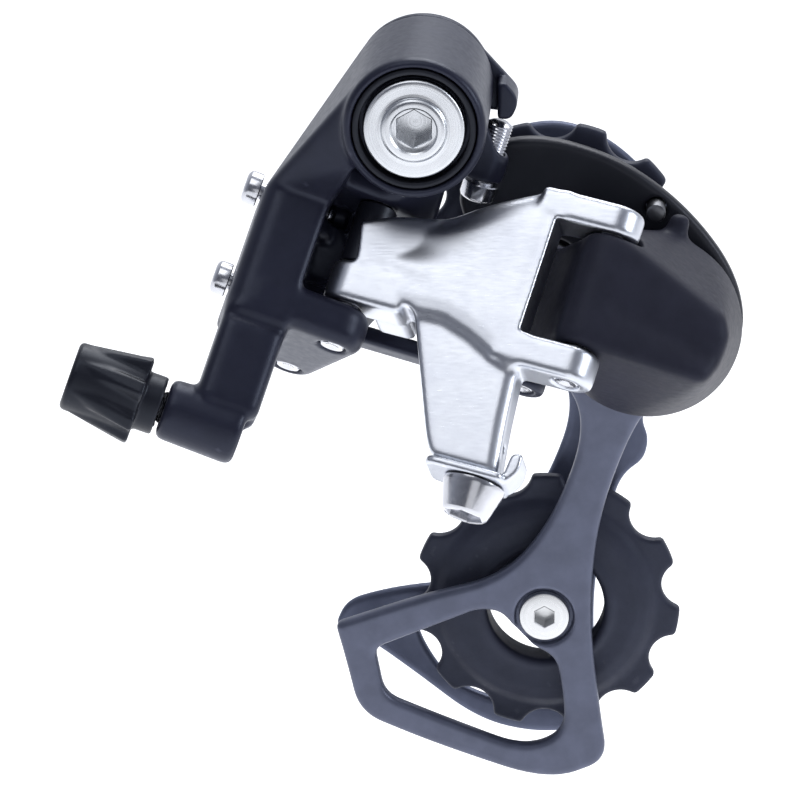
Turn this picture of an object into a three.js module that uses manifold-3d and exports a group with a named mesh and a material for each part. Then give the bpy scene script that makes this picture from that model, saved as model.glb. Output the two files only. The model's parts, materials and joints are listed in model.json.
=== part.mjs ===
// Rear bicycle derailleur with a slanted parallelogram, millimetres.
// Row frame: origin on the hanger bolt's axis in the plane where the part meets the
// bicycle's hanger, +X forward, +Y inboard (towards the wheel), +Z up.
import * as THREE from "three";
import { ConvexGeometry } from "three/addons/geometries/ConvexGeometry.js";
import { mergeVertices } from "three/addons/utils/BufferGeometryUtils.js";
import Module from "manifold-3d";

const wasm = await Module();
wasm.setup();

// ---- driving dimensions -------------------------------------------------------------
const SLANT = 35; // tilt of the four link pins out of the wheel's plane, degrees
const SWEEP = 19.3; // forward lean of the pins seen from the side, degrees
const LINK_LENGTH = 35.5; // between a link's two pins
const LINK_REST_ANGLE = -16.6; // link's angle about its pins in the smallest gear, degrees
const OUTER_P_PIN = [26.81, -26.3, -25.17]; // middle of the outer link's lower fork
const LINK_TRAVEL = 62; // from the smallest gear to the largest, degrees
const INNER_PIN_OFFSET = [-4.6, 18.5]; // inner pins from the outer pins, forward and inboard
const PIN_RADIUS = 2.0;
const PRESS_GAP = 0.1;
const RUNNING_GAP = 0.25;
const OPEN_PIVOT_GAP = 0.4; // round the inner link's lower pin, where the linkage is open

const STUD_RADIUS = 4.95; // M10 x 1 thread into the hanger
const STUD_LENGTH = 9;
const BARREL_RADIUS = 10.7; // knuckle barrel round the hanger bolt
const BARREL_FRONT = -28.2;
const BARREL_BACK = -2.3;

const CAGE_PIVOT = [34.6, -37.5]; // x and z of the cage's axle
const CAGE_BARREL_RADIUS = 14.4;
const STOP_PIN = { radius: 17.2, angle: 87 }; // polar place about the cage's axle
const GUIDE_CENTRE = [19.5, -30.3]; // x and z
const TENSION_CENTRE = [19.0, -88.1];
const OUTER_PLATE = [1.2, 4.0]; // y of its two faces
const INNER_PLATE = [13.8, 15.8];
const PULLEY_Y = 8.9;
const HUB_HALF_WIDTH = 3.85;

const TEETH = 11;
const TIP_RADIUS = 21.3;
const ROLLER_CIRCLE = 22.54; // pitch radius of an eleven-tooth wheel for half-inch chain
const ROLLER_SEAT = 4.0;

const ROUND = 18; // sides of a turned piece
const FINE = 28; // sides of a large turned piece
const SLIM = 12; // sides of a pin or a screw, and of the hole that it sits in

// ---- frames -------------------------------------------------------------------------
const radians = THREE.MathUtils.degToRad;
const vector = (p) => new THREE.Vector3(p[0], p[1], p[2]);

// Slant frame: u forward across the pins, v inboard, n up along the pins.
const n = new THREE.Vector3(
  Math.cos(radians(SLANT)) * Math.sin(radians(SWEEP)),
  Math.sin(radians(SLANT)),
  Math.cos(radians(SLANT)) * Math.cos(radians(SWEEP)),
);
const u = new THREE.Vector3(Math.cos(radians(SWEEP)), 0, -Math.sin(radians(SWEEP)));
const v = new THREE.Vector3().crossVectors(n, u);

const frameAt = (origin) => new THREE.Matrix4().makeBasis(u, v, n).setPosition(origin);
const turned = (frame, degrees) =>
  frame.clone().multiply(new THREE.Matrix4().makeRotationZ(radians(degrees)));
const shifted = (frame, x, y) =>
  frame.clone().multiply(new THREE.Matrix4().makeTranslation(x, y, 0));

const lowerFrame = frameAt(vector(OUTER_P_PIN));
const linkBack = new THREE.Matrix4().makeTranslation(-LINK_LENGTH, 0, 0);
const outerLinkFrame = turned(lowerFrame, LINK_REST_ANGLE).multiply(linkBack);
const upperOrigin = new THREE.Vector3().setFromMatrixPosition(outerLinkFrame);
const upperFrame = frameAt(upperOrigin);
const innerLinkFrame = turned(
  shifted(upperFrame, INNER_PIN_OFFSET[0], INNER_PIN_OFFSET[1]),
  LINK_REST_ANGLE,
);
const rowFrame = new THREE.Matrix4();

// ---- solids -------------------------------------------------------------------------
function toSolid(geometry) {
  const bare = new THREE.BufferGeometry();
  bare.setAttribute("position", geometry.getAttribute("position").clone());
  if (geometry.index) bare.setIndex(geometry.index.clone());
  const merged = mergeVertices(bare, 1e-4);
  const position = merged.getAttribute("position");
  const point = (i) => new THREE.Vector3().fromBufferAttribute(position, i);
  const triangles = [];
  let volume = 0;
  for (let i = 0; i < merged.index.count; i += 3) {
    const [a, b, c] = [0, 1, 2].map((k) => merged.index.getX(i + k));
    if (a === b || b === c || c === a) continue;
    triangles.push([a, b, c]);
    volume += point(a).dot(point(b).cross(point(c)));
  }
  const outward = volume > 0 ? triangles : triangles.map(([a, b, c]) => [a, c, b]);
  return new wasm.Manifold(new wasm.Mesh({
    numProp: 3,
    vertProperties: Float32Array.from(position.array),
    triVerts: Uint32Array.from(outward.flat()),
  }));
}

function toGeometry(solid) {
  const mesh = solid.getMesh();
  const geometry = new THREE.BufferGeometry();
  const stride = mesh.numProp;
  const positions = new Float32Array((mesh.vertProperties.length / stride) * 3);
  for (let i = 0; i < positions.length / 3; i++) {
    for (let k = 0; k < 3; k++) positions[3 * i + k] = mesh.vertProperties[stride * i + k];
  }
  geometry.setAttribute("position", new THREE.BufferAttribute(positions, 3));
  geometry.setIndex(new THREE.BufferAttribute(Uint32Array.from(mesh.triVerts), 1));
  geometry.computeVertexNormals();
  return geometry;
}

const join = (first, ...others) => others.reduce((sum, other) => sum.add(other), first);
const cut = (first, ...others) => others.reduce((rest, other) => rest.subtract(other), first);

// Axis along a frame's z from `low` to `high`, at x, y.
function rod(frame, x, y, low, high, radius, sides = ROUND) {
  const geometry = new THREE.CylinderGeometry(radius, radius, high - low, sides);
  geometry.rotateX(Math.PI / 2);
  geometry.translate(x, y, (low + high) / 2);
  geometry.applyMatrix4(frame);
  return toSolid(geometry);
}

// Turned piece: [radius, height] pairs from axis to axis, or a closed ring, along z.
function turnedPiece(frame, profile, sides = ROUND) {
  const points = profile.map(([r, h]) => new THREE.Vector2(r, h));
  const geometry = new THREE.LatheGeometry(points, sides);
  geometry.rotateX(Math.PI / 2);
  geometry.applyMatrix4(frame);
  return toSolid(geometry);
}

const ringProfile = (inner, outer, low, high) =>
  [[inner, low], [outer, low], [outer, high], [inner, high], [inner, low]];

// Frame whose z runs along the row's +Y at x, z.
const acrossFrame = (x, z) =>
  new THREE.Matrix4().makeRotationX(-Math.PI / 2).setPosition(x, 0, z);
// Frame whose z runs along the slant frame's u, through v, s of that frame.
const alongU = (frame, y, s) =>
  frame.clone().multiply(new THREE.Matrix4().makeRotationY(Math.PI / 2).setPosition(0, y, s));

function box(frame, low, high) {
  const size = high.map((value, k) => value - low[k]);
  const geometry = new THREE.BoxGeometry(...size);
  geometry.translate(...high.map((value, k) => (value + low[k]) / 2));
  geometry.applyMatrix4(frame);
  return toSolid(geometry);
}

// Outline through corners [x, y, corner radius], each corner rounded.
function outline(corners) {
  const shape = new THREE.Shape();
  const count = corners.length;
  corners.forEach(([x, y, radius = 0], i) => {
    const corner = new THREE.Vector2(x, y);
    const before = new THREE.Vector2(...corners[(i + count - 1) % count]);
    const after = new THREE.Vector2(...corners[(i + 1) % count]);
    const reach = (other) => Math.min(radius, 0.48 * corner.distanceTo(other));
    const start = corner.clone().lerp(before, reach(before) / corner.distanceTo(before));
    const end = corner.clone().lerp(after, reach(after) / corner.distanceTo(after));
    if (i === 0) shape.moveTo(start.x, start.y);
    else shape.lineTo(start.x, start.y);
    if (radius > 0) shape.quadraticCurveTo(x, y, end.x, end.y);
  });
  shape.closePath();
  return shape;
}

// Plate from an outline in a frame's x, y, between two heights along its z.
function plate(frame, shape, low, high) {
  const geometry = new THREE.ExtrudeGeometry(shape, {
    depth: high - low, bevelEnabled: false, curveSegments: 3,
  });
  geometry.translate(0, 0, low);
  geometry.applyMatrix4(frame);
  return toSolid(geometry);
}

// Plate in the row's XZ plane between two values of y.
const sideFrame = new THREE.Matrix4().makeRotationX(Math.PI / 2);
const sidePlate = (shape, y) => plate(sideFrame, shape, -y[1], -y[0]);
// Plate in a link's a, s plane, between two depths d.
const linkPlate = (frame, shape, low, high) => plate(
  frame.clone().multiply(new THREE.Matrix4().makeRotationX(Math.PI / 2)), shape, -high, -low,
);

const hull = (points) => toSolid(new ConvexGeometry(points));
const at = (frame, x, y, z) => new THREE.Vector3(x, y, z).applyMatrix4(frame);

// Points of a disc's edge about a frame's z, from one angle to another.
function arcPoints(frame, x, y, z, radius, from = 0, to = 360, steps = 20) {
  return Array.from({ length: steps + 1 }, (_, i) => {
    const angle = radians(from + ((to - from) * i) / steps);
    return at(frame, x + radius * Math.cos(angle), y + radius * Math.sin(angle), z);
  });
}
const drum = (frame, x, y, low, high, radius, steps = 12) =>
  [low, high].flatMap((z) => arcPoints(frame, x, y, z, radius, 0, 360 * (1 - 1 / steps), steps - 1));

// Hexagonal socket, width across flats, about a frame's z.
const socket = (frame, acrossFlats, low, high) =>
  rod(frame, 0, 0, low, high, acrossFlats / Math.sqrt(3), 6);

// Coil spring about a frame's z.
const WIRE_SIDES = 5;
class Helix extends THREE.Curve {
  constructor(radius, low, high, turns) {
    super();
    Object.assign(this, { radius, low, high, turns });
  }
  getPoint(t, target = new THREE.Vector3()) {
    const angle = 2 * Math.PI * this.turns * t;
    return target.set(
      this.radius * Math.cos(angle), this.radius * Math.sin(angle),
      this.low + (this.high - this.low) * t,
    );
  }
}
function coil(frame, radius, wire, low, high, turns, stepsPerTurn = 14) {
  const section = new THREE.Shape();
  for (let i = 0; i < WIRE_SIDES; i++) {
    const angle = (2 * Math.PI * i) / WIRE_SIDES;
    const [x, y] = [wire * Math.cos(angle), wire * Math.sin(angle)];
    if (i === 0) section.moveTo(x, y);
    else section.lineTo(x, y);
  }
  const geometry = new THREE.ExtrudeGeometry(section, {
    steps: Math.round(turns * stepsPerTurn),
    extrudePath: new Helix(radius, low, high, turns),
    curveSegments: 1,
  });
  geometry.applyMatrix4(frame);
  return toSolid(geometry);
}

const stopPinPlace = [
  CAGE_PIVOT[0] + STOP_PIN.radius * Math.cos(radians(STOP_PIN.angle)),
  CAGE_PIVOT[1] + STOP_PIN.radius * Math.sin(radians(STOP_PIN.angle)),
];

// ---- the assembly -------------------------------------------------------------------
const finishes = {
  blackKnuckle: { color: 0x26283a, roughness: 0.42, metalness: 0.5 },
  blackResin: { color: 0x23242c, roughness: 0.6, metalness: 0.0 },
  silverLink: { color: 0xc8d0de, roughness: 0.32, metalness: 0.85 },
  cagePlate: { color: 0x5c6480, roughness: 0.4, metalness: 0.7 },
  polishedSteel: { color: 0xdfe2e8, roughness: 0.18, metalness: 1.0 },
  springSteel: { color: 0x8c9098, roughness: 0.35, metalness: 0.9 },
  pulley: { color: 0x2c2d36, roughness: 0.55, metalness: 0.0 },
  seal: { color: 0x14151b, roughness: 0.5, metalness: 0.0 },
};
const derailleur = new THREE.Group();
function addPiece(name, solid, finish) {
  const mesh = new THREE.Mesh(toGeometry(solid), new THREE.MeshStandardMaterial(finishes[finish]));
  mesh.name = name;
  derailleur.add(mesh);
}

// Hanger bolt: domed head with a raised button, plain pivot, threaded stud.
const hangerAxis = acrossFrame(0, 0);
function hangerPieces() {
  const bolt = turnedPiece(hangerAxis, [
    [0, -28.9], [4.2, -28.9], [4.76, -28.5], [5.5, -28.0], [7.0, -28.0], [7.6, -27.4],
    [7.6, -25.4], [5.9, -25.4], [5.9, -4.0], [STUD_RADIUS, -4.0],
    [STUD_RADIUS, STUD_LENGTH - 0.8], [4.2, STUD_LENGTH], [0, STUD_LENGTH],
  ], FINE);
  addPiece("b_bolt", cut(
    bolt,
    rod(hangerAxis, 0, 0, -30, -27.4, 3.35),
    socket(hangerAxis, 5, -30, -23),
  ), "polishedSteel");
  const clip = turnedPiece(hangerAxis, ringProfile(5.15, 7.4, -3.2, -2.4));
  addPiece("b_circlip", cut(clip, box(rowFrame, [-1.2, -4, 0], [1.2, -2, 9])), "springSteel");
  const ring = turnedPiece(hangerAxis, ringProfile(5.1, 10.4, -2.0, 0), FINE);
  const ear = outline([
    [6, 8.4], [14.2, -0.6, 1], [14.5, -2.2, 1], [13.4, -4.6, 1], [9.6, -4.2], [5.4, 0],
  ]);
  const earPlate = sidePlate(ear, [-2.0, 0]);
  // Turned-out flange that the stop screw's tip presses on.
  const flange = outline([
    [12.6, 1.2], [14.2, -0.6, 1], [14.5, -2.2, 1], [13.4, -4.6, 1], [11.4, -4.4], [11.4, 1.2],
  ]);
  addPiece("b_stop_plate", cut(
    join(ring, earPlate, sidePlate(flange, [-6.5, -1.0])),
    turnedPiece(hangerAxis, [[0, -3], [5.1, -3], [5.1, 1], [0, 1]]),
  ), "blackKnuckle");
}

// Upper knuckle: barrel on the hanger bolt, arm with two pairs of lugs, cable stop boss.
const CABLE_BOSS = -35.8; // along the pins, from the outer upper pin's middle
const UPPER_LUGS = { low: -18.6, lowTop: -12.1, topOuter: [4.6, 8.2], topInner: [-1.5, 1.5] };
const LIMIT_SCREWS = { high_limit_screw: 3.0, low_limit_screw: -12.0 };
const LIMIT_SCREW_V = 7;
const arm = { left: -17.2, right: -7.3, front: -5, back: 12 };
const B_SCREW_TIP = [11.95, -4.2, -5.3];
const bScrewFrame = new THREE.Matrix4()
  .makeRotationY(radians(180 + 16.9)).setPosition(...B_SCREW_TIP);

function upperKnuckle() {
  const [iu, iv] = INNER_PIN_OFFSET;
  const barrel = turnedPiece(hangerAxis, [
    [0, BARREL_FRONT + 0.5], [9.5, BARREL_FRONT], [10.1, BARREL_FRONT], [BARREL_RADIUS, -27.5],
    [BARREL_RADIUS, BARREL_BACK], [0, BARREL_BACK],
  ], FINE);
  const section = (s) => [
    ...arcPoints(upperFrame, arm.left + 3, arm.front + 3, s, 3, 180, 270, 3),
    at(upperFrame, arm.right, arm.front, s), at(upperFrame, arm.right, arm.back, s),
    ...arcPoints(upperFrame, arm.left + 3, arm.back - 3, s, 3, 90, 180, 3),
  ];
  const shoulder = hull([
    ...[-26.4, -3].flatMap((y) => arcPoints(hangerAxis, 0, 0, y, BARREL_RADIUS, 100, 215, 7)
      .map((p) => new THREE.Vector3(p.x, p.y, -p.z))),
    ...section(1),
  ]);
  const upright = hull([...section(1.5), ...section(-19)]);
  const plateOf = (low, high, discs) =>
    hull(discs.flatMap(([x, y, radius]) => drum(upperFrame, x, y, low, high, radius, 8)));
  const lowerLug = plateOf(UPPER_LUGS.low, UPPER_LUGS.lowTop, [
    [0, 0, 4.5], [iu, iv, 4.2], [-12.7, -0.8, 4.3], [-12, 15, 4.5],
  ]);
  const upperOuterLug = plateOf(...UPPER_LUGS.topOuter, [[0, 0, 4.2], [-11, -1, 3.9], [-11, 4, 4]]);
  const upperInnerLug = plateOf(...UPPER_LUGS.topInner, [[iu, iv, 4.2], [-12, 8, 4], [-9, 7, 3]]);
  // Rounded bar hanging below the lower lug, down to the cable stop's boss.
  const cableArm = hull([-17, -34].flatMap((s) => [
    ...arcPoints(upperFrame, -14.9, -3, s, 2, 0, 300, 5),
    ...arcPoints(upperFrame, -9.2, -3, s, 2, 0, 300, 5),
    at(upperFrame, -16.9, 4.4, s), at(upperFrame, -7.2, 4.4, s),
  ]));
  const bossFrame = alongU(upperFrame, 0, CABLE_BOSS);
  const boss = turnedPiece(bossFrame, [
    [0, -20.7], [4.1, -20.7], [4.6, -20.2], [4.9, -9.4], [4.1, -8.5], [0, -8.5],
  ]);
  const screwLug = hull([
    ...drum(bScrewFrame, 0, 0, 5.2, 9.6, 3.0, 8),
    ...[-7.5, -2.6].flatMap((y) => [new THREE.Vector3(9, y, -4), new THREE.Vector3(1, y, -10)]),
  ]);
  const underBarrel = (y, x) => new THREE.Vector3(x, y, -Math.sqrt(10.4 ** 2 - x ** 2));
  // Wall behind the outer link, and the rib that ties its upper lug to the barrel.
  const backWall = hull([
    ...[[-9, 9], [-2, 9], [-2, 12], [-9, 12]].flatMap(([x, y]) =>
      [-7, 6].map((s) => at(upperFrame, x, y, s))),
    ...[-9, -3].flatMap((y) => [underBarrel(y, -5), underBarrel(y, 1)]),
  ]);
  const rib = hull([
    ...drum(upperFrame, 0, 0, ...UPPER_LUGS.topOuter, 4, 8),
    ...drum(upperFrame, 6.3, 4.5, 4.8, 9, 2.8, 8),
    ...[-18, -6].flatMap((y) => [underBarrel(y, -2), underBarrel(y, 5)]),
  ]);
  const body = join(barrel, shoulder, upright, lowerLug, upperOuterLug, upperInnerLug,
    backWall, rib, cableArm, boss, screwLug);

  const limitBores = Object.values(LIMIT_SCREWS)
    .map((s) => rod(alongU(upperFrame, LIMIT_SCREW_V, s), 0, 0, -24, -4, 1.75, SLIM));
  const linkRoom = [
    rod(upperFrame, 0, 0, UPPER_LUGS.lowTop, UPPER_LUGS.topOuter[0], 7),
    rod(upperFrame, iu, iv, UPPER_LUGS.lowTop, UPPER_LUGS.topInner[0], 5.2),
    hull([[0, -5.2], [0, 5.2], [30, -5.2], [30, 5.2]].flatMap(([x, y]) => [
      at(upperFrame, x, y, UPPER_LUGS.lowTop), at(upperFrame, x, y, UPPER_LUGS.topOuter[0])])),
  ];
  addPiece("b_knuckle", cut(
    body,
    rod(hangerAxis, 0, 0, -30, -25.1, 9.35, FINE),
    rod(hangerAxis, 0, 0, -26, -1, 7.1),
    rod(hangerAxis, 0, 0, -10, 2, 9.5),
    rod(upperFrame, 0, 0, -30, 12, PIN_RADIUS + PRESS_GAP, SLIM),
    rod(upperFrame, iu, iv, -30, 12, PIN_RADIUS + PRESS_GAP, SLIM),
    rod(bossFrame, 0, 0, -30, 0, 2.6, SLIM),
    rod(bScrewFrame, 0, 0, -4, 20, 2.1, SLIM),
    ...linkRoom,
    ...limitBores,
  ), "blackKnuckle");

  addPiece("b_bushing", turnedPiece(hangerAxis, ringProfile(6.1, 7.0, -24.9, -10.2)), "blackResin");
  addPiece("b_seal_ring", turnedPiece(hangerAxis, [
    [8.2, -25.3], [9.2, -25.3], [9.2, -27.6], [8.7, -27.9], [8.2, -27.6], [8.2, -25.3],
  ], FINE), "seal");
  addPiece("b_spring", coil(hangerAxis, 7.9, 0.8, -8.9, -4.2, 2.5, 14), "springSteel");
  addPiece("b_screw", crossHeadScrew(bScrewFrame, 2.0, 2.8, 13, 3), "polishedSteel");
  for (const [name, s] of Object.entries(LIMIT_SCREWS)) {
    const frame = alongU(upperFrame, LIMIT_SCREW_V, s)
      .multiply(new THREE.Matrix4().makeRotationY(Math.PI))
      .multiply(new THREE.Matrix4().makeTranslation(0, 0, 5.5));
    addPiece(name, crossHeadScrew(frame, 1.5, 2.6, 14.5, 2.4), "polishedSteel");
  }
}

// Screw whose tip is at the frame's origin and whose head is along +z.
function crossHeadScrew(frame, radius, headRadius, headEnd, headHeight) {
  const underHead = headEnd - headHeight;
  const body = turnedPiece(frame, [
    [0, 0], [radius * 0.7, 0], [radius, 0.6], [radius, underHead], [headRadius, underHead],
    [headRadius, headEnd - 0.5], [headRadius - 0.5, headEnd], [0, headEnd],
  ], SLIM);
  const arms = [[headRadius * 0.7, 0.4], [0.4, headRadius * 0.7]].map(([x, y]) =>
    box(frame, [-x, -y, headEnd - 1.3], [x, y, headEnd + 1]));
  return cut(body, ...arms);
}

// Cable adjuster: knurled knob turning on a threaded core, with its detent spring.
const KNOB = { outer: -35.4, flare: -24.4, neck: -21.2, ribs: 7 };
function cableAdjuster() {
  const frame = alongU(upperFrame, 0, CABLE_BOSS);
  const shell = turnedPiece(frame, [
    [3.7, KNOB.outer], [4.9, KNOB.outer], [5.3, KNOB.outer + 0.4], [5.5, KNOB.flare],
    [4.45, KNOB.flare], [4.45, KNOB.neck], [3.7, KNOB.neck], [3.7, KNOB.outer],
  ]);
  const rib = (i) => {
    const turn = new THREE.Matrix4().makeRotationZ((2 * Math.PI * i) / KNOB.ribs);
    const ribFrame = frame.clone().multiply(turn);
    const corner = (x, y, z) => at(ribFrame, x, y, z);
    return hull([
      corner(4.4, -1.5, KNOB.outer + 0.4), corner(4.4, 1.5, KNOB.outer + 0.4),
      corner(5.25, 0, KNOB.outer + 0.6), corner(4.4, -0.6, KNOB.flare + 0.2),
      corner(4.4, 3.2, KNOB.flare + 0.2), corner(6.6, 2.6, KNOB.flare + 0.2),
      corner(6.7, 0.6, KNOB.flare + 0.2), corner(6.0, 0.2, KNOB.flare - 4),
    ]);
  };
  const ribs = Array.from({ length: KNOB.ribs }, (_, i) => rib(i));
  addPiece("adjuster_knob", join(shell, ...ribs), "blackResin");
  addPiece("adjuster_core", turnedPiece(frame, [
    [2.6, -34.9], [3.4, -34.9], [3.4, -24.6], [2.45, -24.2], [2.45, -12], [1.1, -12],
    [1.1, -26], [2.6, -26], [2.6, -34.9],
  ], SLIM), "polishedSteel");
  addPiece("adjuster_spring", coil(frame, 3.05, 0.3, -23.8, -21.4, 2, 10), "springSteel");
}

// Outer link: a hollow forging with a fork at its lower end and a cable arm below.
const FORK = { low: [-14.9, -9.7], high: [8.7, 13.3], wall: 27.3 };
const ANCHOR = { a: 27.2, top: -31.5 };
function outerLink() {
  const f = outerLinkFrame;
  const face = outline([
    [-0.3, -10.9], [5.6, -10.4, 2], [10.7, -10.3, 1.5], [14.1, -18.2, 6], [19.0, -29.8, 4],
    [20.4, -31.5, 0.6], [30.5, -31.5, 0.4], [29.4, -23.7, 4], [28.6, -14.9, 1], [28.6, 13.4, 0],
    [26, 13.4, 3], [20.9, 10.6, 4], [15.7, 7.3, 4], [10.4, 3.4, 3], [4.6, 2.6, 2],
    [-1.2, -0.8, 0.5], [-0.1, -4.6, 0.6],
  ]);
  const stadium = (x0, x1, radius) => {
    const shape = new THREE.Shape();
    shape.moveTo(x0, -radius);
    shape.lineTo(x1, -radius);
    shape.absarc(x1, 0, radius, -Math.PI / 2, Math.PI / 2);
    shape.lineTo(x0, radius);
    shape.closePath();
    return shape;
  };
  const mirrored = f.clone().multiply(new THREE.Matrix4().makeRotationZ(Math.PI));
  const body = join(
    linkPlate(f, face, -4, 3.8),
    plate(f, stadium(24, LINK_LENGTH, 4), ...FORK.low),
    plate(f, stadium(24, LINK_LENGTH, 4), ...FORK.high),
    plate(mirrored, stadium(-9, 0, 3.7), -11.8, -5.4),
    box(f, [3.4, 3.0, -11.4], [9.4, 10.5, -7.6]),
  );
  const pocket = outline([
    [5, -8.4, 1], [11.5, -8.4, 2], [25, -12.4, 1], [25, 10.4, 2], [20, 7.4, 3], [10, 1.0, 3],
    [5, 0.2, 1],
  ]);
  addPiece("outer_link", cut(
    body,
    box(f, [FORK.wall, -6, FORK.low[1]], [45, 6, FORK.high[0]]),
    linkPlate(f, pocket, -1.7, 6),
    rod(f, 0, 0, -20, 6, PIN_RADIUS + RUNNING_GAP, SLIM),
    rod(f, 0, 0, -5.4, 6, 3.1, ROUND),
    rod(f, LINK_LENGTH, 0, -20, 20, PIN_RADIUS + PRESS_GAP, SLIM),
    rod(f, ANCHOR.a, 0, -40, -26.5, 2.4, SLIM),
  ), "silverLink");
  addPiece("link_bushing_outer_b",
    turnedPiece(f, ringProfile(2.25, 3.0, -5.2, 4.3), SLIM), "blackResin");
  addPiece("link_pin_outer_b", pin(upperFrame, -18.4, 8.0), "polishedSteel");
  addPiece("link_pin_outer_p", pin(lowerFrame, -14.7, 13.1), "polishedSteel");

  const anchorFrame = shifted(f, ANCHOR.a, 0);
  const washer = outline([[-7.4, -5, 2], [4.6, -5, 1], [4.6, 4.6, 1], [-7.4, 4.6, 2]]);
  const tabProfile = outline([
    [2.6, -1.4], [4.8, -1.4, 1], [6.5, 1.0, 1.2], [6.3, 4.0, 0.8], [4.6, 3.4, 0.5],
    [4.3, 0, 0.6], [2.6, -0.1],
  ]);
  const tabFrame = anchorFrame.clone()
    .multiply(new THREE.Matrix4().makeTranslation(0, 0, ANCHOR.top - 0.2));
  addPiece("cable_clamp_plate", cut(
    join(plate(tabFrame, washer, -1.4, -0.1), linkPlate(tabFrame, tabProfile, -3.6, 3.2)),
    rod(anchorFrame, 0, 0, -40, -25, 2.45, SLIM),
  ), "silverLink");
  const bolt = turnedPiece(anchorFrame, [
    [0, -38.4], [3.2, -38.4], [3.7, -37.9], [4.8, -33.9], [4.8, -33.3], [2.3, -33.3],
    [2.3, -27], [0, -27],
  ], ROUND);
  addPiece("cable_anchor_bolt", cut(bolt, socket(anchorFrame, 5, -39, -35)), "polishedSteel");
}

const pin = (frame, low, high) => turnedPiece(frame, [
  [0, low], [PIN_RADIUS - 0.3, low], [PIN_RADIUS, low + 0.3], [PIN_RADIUS, high - 0.3],
  [PIN_RADIUS - 0.3, high], [0, high],
], SLIM);

function innerLink() {
  const f = innerLinkFrame;
  const face = outline([
    [1, -11.8], [27, -12.6], [27, 10.2], [22, 8.4, 3], [10, -1.6, 3], [1, -1.9],
  ]);
  const body = join(
    linkPlate(f, face, -2.2, 2.4),
    hull([...drum(f, 0, 0, -11.8, -1.9, 3.8), ...drum(f, 6, 0, -11.8, -1.9, 2.3)]),
    ...[[-12.6, -9.9], [8.7, 10.2]].map(([low, high]) =>
      hull([...drum(f, LINK_LENGTH, 0, low, high, 3.6), ...drum(f, 24, 0, low, high, 2.3)])),
  );
  const window = outline([[9, -9.4, 1], [24, -10, 1], [24, 6.4, 1], [12, -3.4, 1]]);
  const springRoom = box(f, [23, -6, -5.4], [28, 6, 1.4]);
  addPiece("inner_link", cut(
    body,
    linkPlate(f, window, -6, 6),
    springRoom,
    rod(f, 0, 0, -20, 20, PIN_RADIUS + RUNNING_GAP, SLIM),
    rod(f, LINK_LENGTH, 0, -20, 20, PIN_RADIUS + PRESS_GAP, SLIM),
  ), "blackKnuckle");
  const upperPin = pin(shifted(upperFrame, ...INNER_PIN_OFFSET), -18.4, 1.3);
  const lowerPin = pin(shifted(lowerFrame, ...INNER_PIN_OFFSET), -12.4, 10.0);
  addPiece("link_pin_inner_b", upperPin, "polishedSteel");
  addPiece("link_pin_inner_p", lowerPin, "polishedSteel");
}

// Return spring: an extension coil across the parallelogram's long diagonal.
function returnSpring() {
  const from = at(upperFrame, 0, 0, -2);
  const to = at(lowerFrame, INNER_PIN_OFFSET[0], INNER_PIN_OFFSET[1], -2);
  const length = from.distanceTo(to);
  const frame = new THREE.Matrix4().lookAt(to, from, n).setPosition(from);
  addPiece("return_spring", coil(frame, 2.3, 0.45, 9.5, length - 6.5, 7, 8), "springSteel");
}

// Lower knuckle: solid block between the forks, flaring into the cage pivot's barrel.
const cageAxis = acrossFrame(...CAGE_PIVOT);
const BLOCK = [-9.4, 8.4]; // between the fork's arms
function lowerKnuckle() {
  const f = lowerFrame;
  const [iu, iv] = INNER_PIN_OFFSET;
  const front = [
    [-1, 8.4], [4.2, 7.4], [11, 4.8], [19.4, 1.8], [20.8, -1], [20.4, -6], [19.4, -8.8],
    [3.3, -9.4], [-1, -9.4],
  ].map(([x, s]) => at(f, x, -4, s));
  const main = hull([
    ...front,
    ...drum(cageAxis, 0, 0, -6, -0.9, CAGE_BARREL_RADIUS, 28),
    ...drum(f, 0, 0, ...BLOCK, 4, 12),
  ]);
  const inner = hull([
    ...drum(f, iu, iv, ...BLOCK, 4, 12),
    ...drum(f, 0, 0, ...BLOCK, 3.5, 8),
    ...drum(cageAxis, 0, 0, -12, -3, 9, 12),
  ]);
  const stopAngle = [68, 80.5];
  const aroundCage = (r, angle, y) => new THREE.Vector3(
    CAGE_PIVOT[0] + r * Math.cos(radians(angle)), y, CAGE_PIVOT[1] + r * Math.sin(radians(angle)),
  );
  const stopLug = hull([-4.2, -1.1].flatMap((y) => stopAngle.flatMap((angle) =>
    [12, 18.4].map((r) => aroundCage(r, angle, y)))));
  // A link's fork arm swings from its rest angle to its innermost angle about each pin.
  const swing = [180 + LINK_REST_ANGLE, 180 + LINK_REST_ANGLE + LINK_TRAVEL];
  const room = ([x, y], low, high) => hull([
    ...drum(f, x, y, low, high, 4.6),
    ...swing.flatMap((angle) => drum(
      f, x + 14 * Math.cos(radians(angle)), y + 14 * Math.sin(radians(angle)), low, high, 4.6, 8,
    )),
  ]);
  const forkRoom = [[0, 0], INNER_PIN_OFFSET].flatMap((place) => [
    room(place, BLOCK[1], 16), room(place, -20, BLOCK[0]),
  ]);
  addPiece("p_knuckle", cut(
    join(main, inner, stopLug),
    rod(cageAxis, 0, 0, -11, 2, 8.8),
    rod(cageAxis, 0, 0, -16, 0, 5.6),
    rod(cageAxis, 0, 0, -18.6, 0, 3.4),
    rod(f, 0, 0, -20, 20, PIN_RADIUS + RUNNING_GAP, SLIM),
    rod(f, iu, iv, -20, 20, PIN_RADIUS + OPEN_PIVOT_GAP, SLIM),
    ...forkRoom,
  ), "blackKnuckle");
  addPiece("p_bushing", turnedPiece(cageAxis, ringProfile(4.15, 5.5, -15.8, -11.2)), "blackResin");
  addPiece("p_spring", coil(cageAxis, 7.2, 0.8, -9.8, -2.4, 3, 14), "springSteel");
}

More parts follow.
